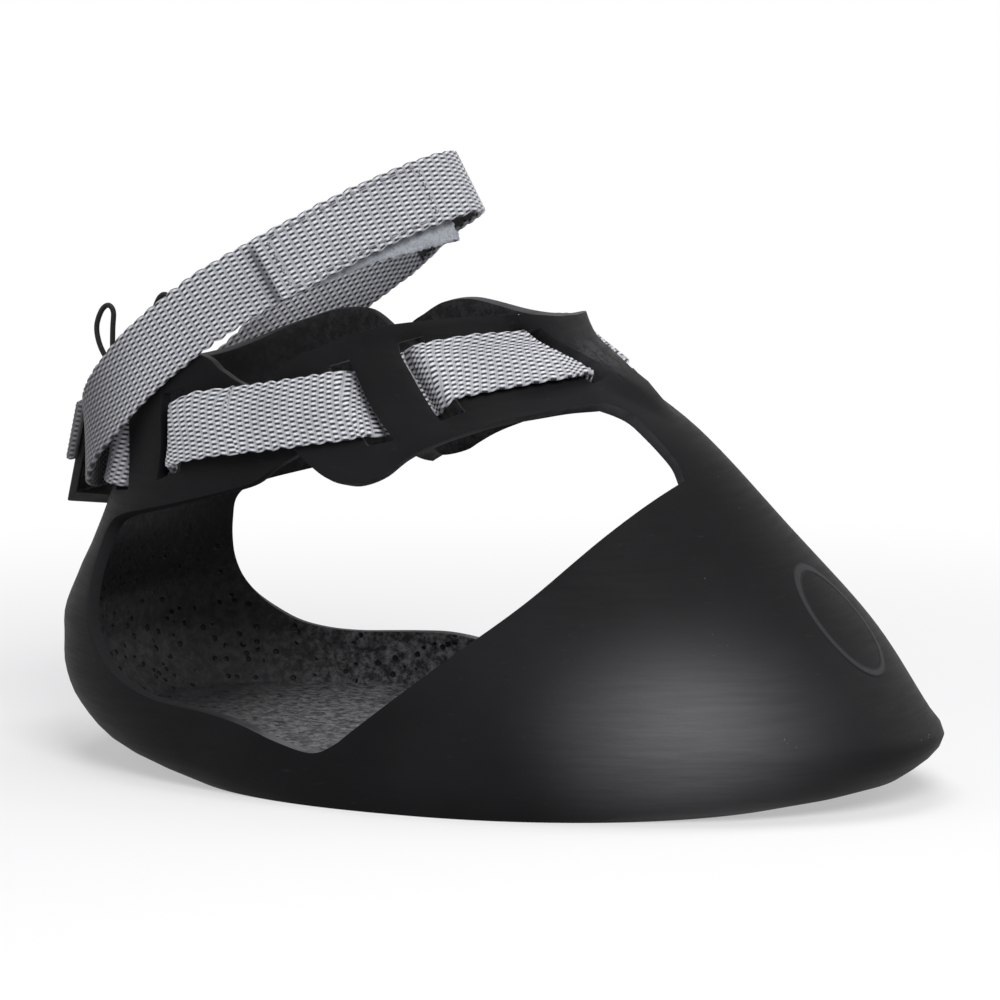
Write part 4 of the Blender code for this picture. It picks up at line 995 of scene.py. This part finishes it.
def woven(name, place, run_length, closed, material, fine_in=3, width=WEB, seed=0):
    """A webbing band. place(s, across) gives middle points and outward normals for s from 0 to 1."""
    ribs = max(2, round(run_length / RIB))
    rows = ribs * PER_RIB
    s = np.arange(rows + (0 if closed else 1)) / rows
    v = s * ribs
    warps = round(width * WARPS / WEB)
    rng = np.random.default_rng(seed)
    scallop = SCALLOP * (np.abs(np.sin(v * math.pi / 2)) ** 0.8 - 1)
    wobble = np.interp(v, np.arange(ribs + 1), rng.normal(0, WOBBLE, ribs + 1))
    points, rises, weave, columns = [], [], [], []
    for per_warp, side in ((PER_WARP, 1), (fine_in, -1)):
        u = np.arange(warps * per_warp + 1) / per_warp
        grid_u, grid_v = np.meshgrid(u, v)
        across = grid_u / warps * 2 - 1
        stretch = 1 + (scallop[:, None] * np.abs(across) ** 6 + wobble[:, None]) / (width / 2)
        middle, normal = place(np.repeat(s[:, None], len(u), 1), across * stretch)
        edge = np.clip((1 - np.abs(across)) * warps, 0, 1) ** 0.5
        seat = BAND_THICK / 2 * np.clip(edge * 1.4, 0.25, 1)
        points.append((middle + normal * (side * seat)[..., None]).reshape(-1, 3))
        rises.append((normal * (side * edge)[..., None]).reshape(-1, 3))
        weave.append(np.stack([grid_u, grid_v], -1).reshape(-1, 2))
        columns.append(len(u))
    outer, inner = columns
    shift = len(s) * outer
    faces = []
    for i in range(rows):
        j = (i + 1) % len(s)
        a, b = i * outer, j * outer
        faces += [(a + k, a + k + 1, b + k + 1, b + k) for k in range(outer - 1)]
        c, d = shift + i * inner, shift + j * inner
        faces += [(c + k, d + k, d + k + 1, c + k + 1) for k in range(inner - 1)]
        faces.append((a, b, d, c))
        faces.append((a + outer - 1, c + inner - 1, d + inner - 1, b + outer - 1))
    for i in () if closed else (0, rows):
        loop = [i * outer + k for k in range(outer)]
        loop += [shift + i * inner + k for k in reversed(range(inner))]
        faces.append(tuple(loop if i else reversed(loop)))
    weave = np.concatenate(weave)
    made = face_outwards(add_mesh(name, np.concatenate(points), faces, weave, materials=(material,)))
    add_fields(made.data, warp=weave[:, 0], rib=weave[:, 1], rise=np.concatenate(rises))
    WEAVE.grow(made, Height=WEAVE_HIGH, Material=material)
    for key in ("warp", "rib", "rise"):
        made.data.attributes.remove(made.data.attributes[key])
    return made


def lacing_place():
    """The lacing strap all the way round: middle points and normals, and its length."""
    turns = np.linspace(0, 1, 900)
    level = lacing_level(turns)
    centre = wall_point(turns, level, lacing_depth(turns, level))
    run = along(centre)
    half = run[-1]

    def surface(s, across):
        at = (s % 1) * 2 * half
        far = at > half
        place = np.where(far, 2 * half - at, at)
        turn = np.interp(half - place, run, turns)
        run_v, up = slopes(turn, lacing_level(turn))
        width = lacing_width(turn)
        rest = width - up * width[..., 2:3]
        turn_step = (rest * run_v).sum(-1) / (run_v**2).sum(-1)
        away = np.abs(turn + turn_step * WEB / 2 - SLOT_TURN["heel_front"][1])
        away = away * np.linalg.norm(run_v, axis=-1)
        draw = HEEL_CORNER * ease(1 - away / HEEL_CORNER_REACH)
        out = across * WEB / 2 - draw * (across + 1) / 2
        t = turn + out * turn_step
        z = lacing_level(turn) + out * width[..., 2]
        over = (t < 0) | (t > 1)
        t = np.where(t < 0, -t, np.where(t > 1, 2 - t, t))
        p = wall_point(t, z, lacing_depth(t, z))
        p[..., 1] *= np.where(over, -1, 1)
        p[..., 1] *= np.where(far, -1, 1)
        return p

    def place(s, across):
        small = 0.0004
        p = surface(s, across)
        d1 = surface(s + small, across) - surface(s - small, across)
        d2 = surface(s, across + 0.01) - surface(s, across - 0.01)
        normal = unit(np.cross(d1, d2))
        centre_line = np.array([LENGTH * 0.3, 0, 0.09])
        flip = ((p - centre_line) * normal * (1, 1, 0)).sum(-1) < 0
        return p, np.where(flip[..., None], -normal, normal)

    return place, 2 * half


# Ring strap
def ring_line():
    half = [np.array((x * LENGTH, -y * SOLE, z * HEIGHT)) for x, y, z in RING_PATH]
    flip = np.array([1, -1, 1])
    line = through([half[1] * flip] + half + [half[-2] * flip], 12)[12:-12]
    return spaced(line, 0.00075)


RING = ring_line()
RING_RUN = along(RING)


def ring_frame(share):
    """Middle point, outward and width directions on the near side at shares of its length."""
    share = np.clip(share, 0, 1)
    at = share * RING_RUN[-1]

    def at_place(a):
        a = np.clip(a, 0, RING_RUN[-1])
        return np.stack([np.interp(a, RING_RUN, RING[:, k]) for k in range(3)], -1)

    point = at_place(at)
    run = unit(at_place(at + 0.002) - at_place(at - 0.002))
    end = np.clip(np.minimum(at, RING_RUN[-1] - at) / 0.003, 0, 1)[..., None]
    first = (at < RING_RUN[-1] / 2)[..., None]
    straight_run = np.where(first, np.array([0, -1.0, 0]), np.array([0, 1.0, 0]))
    run = unit(straight_run * (1 - end) + run * end)
    lean = smooth(RING_LEAN, share)
    axis = np.stack([-np.sin(lean), np.zeros_like(lean), np.cos(lean)], -1)
    outward = unit(np.cross(run, axis))
    centre = np.stack([np.full_like(lean, LENGTH / 4), np.zeros_like(lean), point[..., 2]], -1)
    outward = np.where(((outward * (point - centre)).sum(-1) < 0)[..., None], -outward, outward)
    width = unit(np.cross(outward, run))
    return point, outward, np.where(width[..., 2:3] < 0, -width, width)


LAP = WEB_THICK + 2 * TAPE_THICK + 3 * FIT


def far_offset(share):
    first, full, last, end = RING_BESIDE_WING
    beside = BESIDE_WING * ease((share - first) / (full - first)) * ease((end - share) / (end - last))
    return beside + LAP * ease((share - LAP_START) / (LAPPED - LAP_START))


def under_drop(share):
    return -UNDER_DROP * ease((share - CLOSING_END) / (1 - CLOSING_END))


def ring_point(share, across, offset, shift=0, far=False, width=WEB):
    point, outward, up = ring_frame(share)
    p = point + outward * np.asarray(offset)[..., None] + up * (across * width / 2 + shift)[..., None]
    sign = np.where(far, -1, 1) * np.ones_like(share)
    mirror = np.stack([np.ones_like(share), sign, np.ones_like(share)], -1)
    return p * mirror, outward * mirror


def ring_webbing():
    near_length = RING_RUN[-1] * UNDER_END
    total = near_length + RING_RUN[-1]

    def place(s, across):
        at = s * total
        far = at > near_length
        share = np.where(far, at - near_length, near_length - at) / RING_RUN[-1]
        offset = np.where(far, far_offset(share), 0)
        return ring_point(share, across, offset, np.where(far, 0, under_drop(share)), far)

    return woven("ring_webbing", place, total, False, MAT["webbing"], seed=3)


def closing_webbing():
    clear = 1 - FIT / RING_RUN[-1]
    length = (clear - CLOSING_END) * RING_RUN[-1]

    def place(s, across):
        share = CLOSING_END + (clear - CLOSING_END) * s
        return ring_point(share, across, np.full_like(share, LAP))

    return woven("closing_webbing", place, length, False, MAT["webbing"], seed=5)


def tape(name, ends, offset, thick, material, shift=None, far=False, width=WEB, seed=1):
    """A tape along the ring, its faces slightly uneven."""
    length = (ends[1] - ends[0]) * RING_RUN[-1]
    rows, columns = round(length / TAPE_STEP), TAPE_COLUMNS
    share = np.linspace(ends[0], ends[1], rows + 1)
    across = np.linspace(-1, 1, columns + 1)
    grid_s, grid_a = np.meshgrid(share, across, indexing="ij")
    rng = np.random.default_rng(seed)
    base = offset(grid_s) if callable(offset) else np.full_like(grid_s, offset)
    move = shift(grid_s) if shift else np.zeros_like(grid_s)
    fray = rng.normal(0, TAPE_ROUGH * 1.2 / (width / 2), grid_s.shape)
    frayed = 1 + fray * (np.abs(grid_a) > 0.95)
    out, normal = ring_point(grid_s, grid_a * frayed, base, move, far, width)
    edge = np.clip((1 - np.abs(grid_a)) * 6, 0.35, 1)
    top = out + normal * (thick / 2 * edge + rng.normal(0, TAPE_ROUGH, grid_s.shape))[..., None]
    low = out - normal * (thick / 2 * edge)[..., None]
    count = (rows + 1) * (columns + 1)
    points = np.concatenate([top.reshape(-1, 3), low.reshape(-1, 3)])
    faces = []
    step = columns + 1
    for i in range(rows):
        for k in range(columns):
            a = i * step + k
            faces.append((a, a + 1, a + 1 + step, a + step))
            faces.append((a + count, a + step + count, a + 1 + step + count, a + 1 + count))
        a, b = i * step, i * step + columns
        faces.append((a, a + step, a + step + count, a + count))
        faces.append((b, b + count, b + step + count, b + step))
    for i in (0, rows):
        line = [i * step + k for k in range(step)]
        loop = line + [k + count for k in reversed(line)]
        faces.append(tuple(loop if i else reversed(loop)))
    return face_outwards(add_mesh(name, points, faces, materials=(material,)))


# Keeper
def keeper_x(z):
    bottom, top = (share * HEIGHT for share in KEEPER_LEVEL)
    low, high = float(skin(1.0, bottom)[0]), float(skin(1.0, top)[0])
    return low + (high - low) * (z - bottom) / (top - bottom) - KEEPER_DEPTH


def keeper():
    bottom, top = (share * HEIGHT for share in KEEPER_LEVEL)
    half_web = WEB / 2 + SLOT_CLEAR
    level = float(lacing_level(1.0))
    under, over = level - half_web, level + half_web
    low, high = bottom + KEEPER_THICK, top - KEEPER_THICK
    rows = []
    for k in range(KEEPER_ROWS + 1):
        y = KEEPER_WIDTH * (k / KEEPER_ROWS - 0.5)

        def seat(z, lift=0.0):
            return (float(skin(side_turn(abs(y), z), z)[0]) - FIT - lift, y, z)

        ring = [
            (keeper_x(bottom), y, bottom), seat(bottom), seat(under), seat(under, KEEPER_RELIEF),
            seat(low, KEEPER_RELIEF), (keeper_x(low) + KEEPER_THICK, y, low),
            (keeper_x(high) + KEEPER_THICK, y, high), seat(high, KEEPER_RELIEF), seat(over, KEEPER_RELIEF),
            seat(over), seat(top), (keeper_x(top), y, top),
        ]
        rows.append(ring)
    points = [p for row in rows for p in row]
    around = len(rows[0])
    faces = []
    for i in range(KEEPER_ROWS):
        for k in range(around):
            a, b = i * around + k, i * around + (k + 1) % around
            faces.append((a, b, b + around, a + around))
    faces.append(tuple(range(around)))
    faces.append(tuple(KEEPER_ROWS * around + k for k in reversed(range(around))))
    made = face_outwards(add_mesh("keeper", points, faces, materials=(MAT["keeper"],)))
    round_edges(made, KEEPER_ROUND, ROUND_STEPS, 35)
    apply_modifiers(made)
    smooth_below(made.data, 45)
    return made


def keeper_webbing():
    radius = KEEPER_THICK * math.sqrt(0.5) + FIT + WEB_THICK / 2
    half = KEEPER_WIDTH / 2
    line = []
    for k in range(9):
        angle = math.pi / 2 * (1 + k / 8)
        line.append((radius * math.cos(angle), -half + KEEPER_THICK / 2 - radius * math.sin(angle)))
    line = np.array(line + [(x, -y) for x, y in reversed(line)])
    run = along(line)
    level = float(lacing_level(1.0))

    def place(s, across):
        at = np.clip(s, 0, 1) * run[-1]
        z = level + WRAP_RISE + across * WRAP_WIDTH / 2
        x = np.interp(at, run, line[:, 0])
        y = np.interp(at, run, line[:, 1])
        small = 0.0003
        dx, dy = (
            np.interp(at + small, run, line[:, k]) - np.interp(at - small, run, line[:, k]) for k in (0, 1)
        )
        bottom, top = (share * HEIGHT for share in KEEPER_LEVEL)
        plate = keeper_x(bottom) + (keeper_x(top) - keeper_x(bottom)) * (z - bottom) / (top - bottom)
        p = np.stack([plate + KEEPER_THICK / 2 + x, y, z], -1)
        return p, unit(np.stack([-dy, dx, np.zeros_like(dx)], -1))

    return woven(
        "keeper_webbing", place, run[-1], False, MAT["webbing"], fine_in=2, width=WRAP_WIDTH, seed=9,
    )


# Pull loops
def cord_curve(name, points, radius, material):
    curve = bpy.data.curves.new(name, "CURVE")
    curve.dimensions = "3D"
    curve.bevel_depth = radius
    curve.bevel_resolution = 4
    curve.use_fill_caps = True
    spline = curve.splines.new("POLY")
    spline.points.add(len(points) - 1)
    for item, p in zip(spline.points, points):
        item.co = (*(np.asarray(p) - ORIGIN), 1)
    curve.materials.append(material)
    return link(bpy.data.objects.new(name, curve))


def pull_loop(name, far):
    level = PULL_LEVEL * HEIGHT
    turn = side_turn(PULL_SPREAD / 2, level)
    seat = wall_point(np.array(turn), np.array(level), np.array(0.0))
    inward = unit(wall_point(np.array(turn), np.array(level), np.array(WALL)) - seat)
    across = unit(slopes(np.array(turn), np.array(level))[0])
    upward = np.cross(inward, across)
    upward = upward if upward[2] > 0 else -upward
    leg, wide, tall = CORD / 2 + FIT, (PULL_WIDE - CORD) / 2, PULL_TALL
    clear, lean = CORD * 0.8, PULL_LEAN
    half = [
        (-leg, -WALL, 0), (-leg, 0, 0), (-leg, clear + lean * 0.2, tall * 0.04),
        (-leg * 1.1, clear + lean * 0.55, tall * 0.2),
        (-wide * 0.75, clear + lean * 0.85, tall * 0.45), (-wide, clear + lean, tall * 0.7),
        (-wide * 0.75, clear + lean, tall * 0.92), (0, clear + lean, tall),
    ]
    route = half + [(-a, n, u) for a, n, u in reversed(half[:-1])]
    points = []
    for a, n, u in route:
        t = float(ease(2 * u / tall))
        side = across * (1 - t) + np.array([1.0 if across[0] > 0 else -1.0, 0, 0]) * t
        points.append(seat + side * a - inward * n + upward * u)
    points = spaced(through(points, 10), 0.0006)
    if far:
        points = points * (1, -1, 1)
    return cord_curve(name, points, CORD / 2 * 0.9, MAT["cord"])


def knot(name, far):
    level = PULL_LEVEL * HEIGHT
    turn = side_turn(PULL_SPREAD / 2, level)
    seat = wall_point(np.array(turn), np.array(level), np.array(WALL + FIT + 0.0015))
    inward = unit(seat - wall_point(np.array(turn), np.array(level), np.array(0.0)))
    side = unit(np.cross(inward, (0, 0, 1.0)))
    up = np.cross(side, inward)
    points = []
    for k in range(KNOT_POINTS + 1):
        a = k / KNOT_POINTS * math.tau * KNOT_TURNS
        r = KNOT_RADIUS + KNOT_SWAY * math.cos(a * 2 / 3)
        around = (side * math.cos(a) + up * math.sin(a)) * r
        points.append(seat + around + inward * KNOT_SWAY * math.sin(a * 4 / 3))
    points = np.array(points)
    if far:
        points = points * (1, -1, 1)
    return cord_curve(name, points, KNOT_CORD, MAT["cord"])


# Stitching
def stitch_tree():
    """An arched thread stitch at each point, along its run and up its face."""
    n = Shape("stitches", "Length", "Thickness")
    thread = n.node("GeometryNodeMeshCylinder", fill_type="NGON")
    for key, value in (("Vertices", 6), ("Side Segments", 6), ("Radius", 1.0), ("Depth", 2.0)):
        n.put(thread.inputs[key], value)
    x, y, z = n.axes(n.node("GeometryNodeInputPosition").outputs[0])
    arch = n.math("SUBTRACT", 0.9, n.math("MULTIPLY", n.math("MULTIPLY", z, z), 1.5))
    ahead = n.math("MULTIPLY", n.math("MULTIPLY", z, n.given["Length"]), 0.5)
    aside = n.math("MULTIPLY", x, n.given["Thickness"])
    above = n.math("MULTIPLY", n.math("ADD", y, arch), n.given["Thickness"])
    stitch = n.moved(thread.outputs["Mesh"], Position=n.joined(ahead, aside, above))
    turn = n.node("FunctionNodeAxesToRotation", primary_axis="Z", secondary_axis="X")
    n.put(turn.inputs["Primary Axis"], n.field("face_up", "FLOAT_VECTOR"))
    n.put(turn.inputs["Secondary Axis"], n.field("thread_run", "FLOAT_VECTOR"))
    return n.end(n.repeated(stitch, Rotation=turn.outputs["Rotation"]))


def stitches(name, places, material):
    """Thread stitches. Each place is a middle point, a direction and a normal."""
    middles, runs, ups = (np.array(item, float) for item in zip(*places))
    made = add_points(name, middles - ORIGIN, thread_run=runs, face_up=ups)
    stitch_tree().grow(made, Length=STITCH, Thickness=THREAD, Material=material)
    made.data.shade_smooth()
    return made


def ring_stitches(share_line, across_line, offset, lift):
    """Places of the stitches along a line on the ring, given as shares and places across."""
    points, normals = ring_point(share_line, across_line, np.full_like(share_line, offset + lift))
    run = along(points)
    count = int(run[-1] / STITCH_STEP)
    small = 0.0005

    def at_run(line, at):
        return np.array([np.interp(at, run, line[:, k]) for k in range(3)])

    places = []
    for k in range(count):
        at = (k + 0.5) * run[-1] / count
        ahead = unit(at_run(points, at + small) - at_run(points, at - small))
        places.append((at_run(points, at), ahead, unit(at_run(normals, at))))
    return places


# Camera, lights and world
def seen_rays(n):
    """1 for the rays that see the background: straight, reflected and through glass."""
    rays = n.node("ShaderNodeLightPath").outputs
    return n.math("MAXIMUM", n.math("MAXIMUM", rays["Is Camera Ray"], rays["Is Glossy Ray"]),
                  rays["Is Transmission Ray"])


def floor():
    """A white floor that keeps the boot's shadow and fades into the background."""
    bpy.ops.mesh.primitive_circle_add(vertices=96, radius=FLOOR_RADIUS, fill_type="NGON", location=(0, 0, 0))
    made = bpy.context.object
    made.name = "floor"
    n = Finish("floor")
    away = n.node("ShaderNodeVectorMath", operation="LENGTH")
    n.put(away.inputs[0], n.coordinates())
    fade = n.ramp(away.outputs["Value"], *FLOOR_FADE, 0.45, 1.0)
    glow = n.node("ShaderNodeEmission")
    matte = n.node("ShaderNodeBsdfDiffuse")
    matte.inputs["Color"].default_value = (FLOOR_TONE, FLOOR_TONE, FLOOR_TONE, 1)
    mixed = n.node("ShaderNodeMixShader")
    sources = (n.math("MULTIPLY", fade, seen_rays(n)), matte.outputs[0], glow.outputs[0])
    for socket, source in zip(mixed.inputs, sources):
        n.put(socket, source)
    n.put(n.tree.nodes["Material Output"].inputs["Surface"], mixed.outputs[0])
    n.tree.nodes.remove(n.shader)
    made.data.materials.append(n.material)


def view():
    azimuth, elevation = math.radians(VIEW_AZIMUTH), math.radians(VIEW_ELEVATION)
    level = math.cos(elevation)
    back = Vector((math.sin(azimuth) * level, -math.cos(azimuth) * level, math.sin(elevation)))
    camera = link(bpy.data.objects.new("camera", bpy.data.cameras.new("camera")))
    camera.location = Vector(VIEW_TARGET) + back * VIEW_DISTANCE
    camera.rotation_euler = back.to_track_quat("Z", "Y").to_euler()
    camera.data.sensor_width = VIEW_SENSOR
    camera.data.lens = VIEW_LENS
    camera.data.shift_y = VIEW_SHIFT
    camera.data.dof.use_dof = False
    bpy.context.scene.camera = camera


def lamps():
    for name, place, size, power, aim in LAMPS:
        light = bpy.data.lights.new(name, "AREA")
        light.shape = "RECTANGLE"
        light.size, light.size_y = size
        light.energy = power
        lamp = link(bpy.data.objects.new(name, light))
        lamp.location = place
        lamp.rotation_euler = (Vector(place) - Vector(aim)).to_track_quat("Z", "Y").to_euler()


def sky():
    """A pale fill light, and white for the rays that see the background."""
    world = bpy.data.worlds.new("world")
    bpy.context.scene.world = world
    world.use_nodes = True
    n = Nodes(world.node_tree)
    n.tree.nodes.clear()
    mixed = n.node("ShaderNodeMixShader")
    n.put(mixed.inputs[0], seen_rays(n))
    for socket, color, strength in ((mixed.inputs[1], FILL_COLOR, FILL), (mixed.inputs[2], (1, 1, 1, 1), 1)):
        light = n.node("ShaderNodeBackground")
        n.put(light.inputs["Color"], color)
        n.put(light.inputs["Strength"], strength)
        n.put(socket, light.outputs[0])
    n.put(n.node("ShaderNodeOutputWorld").inputs[0], mixed.outputs[0])


view()
lamps()
sky()
floor()
bpy.context.scene.view_settings.view_transform = "Standard"

MAT = {
    "outside": rubber_outside(),
    "inside": rubber_inside(),
    "edge": rubber_edge(),
    "webbing": webbing("webbing"),
    # Painted light: the same webbing, made lighter for the lacing strap
    "webbing_near": webbing("webbing_near", (0.56, 0.565, 0.60), (0.025, 0.025, 0.027)),
    "keeper": plain("keeper_rubber", (0.006, 0.006, 0.0065), 0.55),
    "cord": plain("cord", (0.006, 0.006, 0.0065), 0.6, 1800.0, 0.0003),
    "loop": pile("loop_pile", (0.42, 0.44, 0.48), 0.9),
    "hook": pile("hook_pile", (0.12, 0.12, 0.13), 0.8),
    "inner": pile("inner_pile", (0.012, 0.012, 0.013), 0.85),
    "thread": plain("thread", (0.22, 0.22, 0.24), 0.7, 2500.0, 0.00005),
}

shell = moulding()
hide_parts("boot_shell")
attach(shell, "boot")

lacing_surface, lacing_length = lacing_place()
lacing = woven("lacing_webbing", lacing_surface, lacing_length, True, MAT["webbing_near"], fine_in=2, seed=2)
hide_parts("lacing_strap")
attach(lacing, "boot")

holder = keeper()
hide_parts("rear_keeper")
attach(holder, "boot")
wrap = keeper_webbing()
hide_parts("keeper_wrap")
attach(wrap, "boot")

for word, is_far in (("near", False), ("far", True)):
    loop_piece = pull_loop("pull_cord_" + word, is_far)
    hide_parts("pull_loop_" + word)
    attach(loop_piece, "boot")
    knot_piece = knot("pull_knot_" + word, is_far)
    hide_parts("loop_knot_" + word)
    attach(knot_piece, "boot")

ring = ring_webbing()
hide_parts("ring_strap")
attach(ring, "ring")
closing = closing_webbing()
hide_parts("closing_end")
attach(closing, "closing")

half_web = WEB_THICK / 2
loop_offset = half_web + FIT + TAPE_THICK / 2
hook_offset = loop_offset + TAPE_THICK + FIT
inner_offset = half_web + FIT + INNER_THICK / 2
narrow = WEB - 2 * TAPE_MARGIN
soft = tape("loop_pile", LOOP_TAPE, loop_offset, TAPE_THICK, MAT["loop"], under_drop, seed=11)
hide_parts("loop_tape")
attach(soft, "ring")
grip = tape("hook_pile", HOOK_TAPE, hook_offset, TAPE_THICK, MAT["hook"], width=narrow, seed=12)
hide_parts("hook_tape")
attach(grip, "closing")
lining = tape("inner_pile", INNER_TAPE, lambda s: far_offset(s) - inner_offset, INNER_THICK, MAT["inner"],
              far=True, width=narrow, seed=13)
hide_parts("inner_tape")
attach(lining, "ring")

sewn = []
seam_ends = CLOSING_END + SEAM_INSET, HOOK_TAPE[1]
for edge in (-SEAM_ACROSS, SEAM_ACROSS):
    sewn += ring_stitches(np.linspace(*seam_ends, 60), np.full(60, edge), LAP, half_web)
for share in seam_ends:
    across_line = np.linspace(-SEAM_ACROSS, SEAM_ACROSS, 20)
    sewn += ring_stitches(np.full(20, share), across_line, LAP, half_web)
thread = stitches("closing_thread", sewn, MAT["thread"])
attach(thread, "closing")
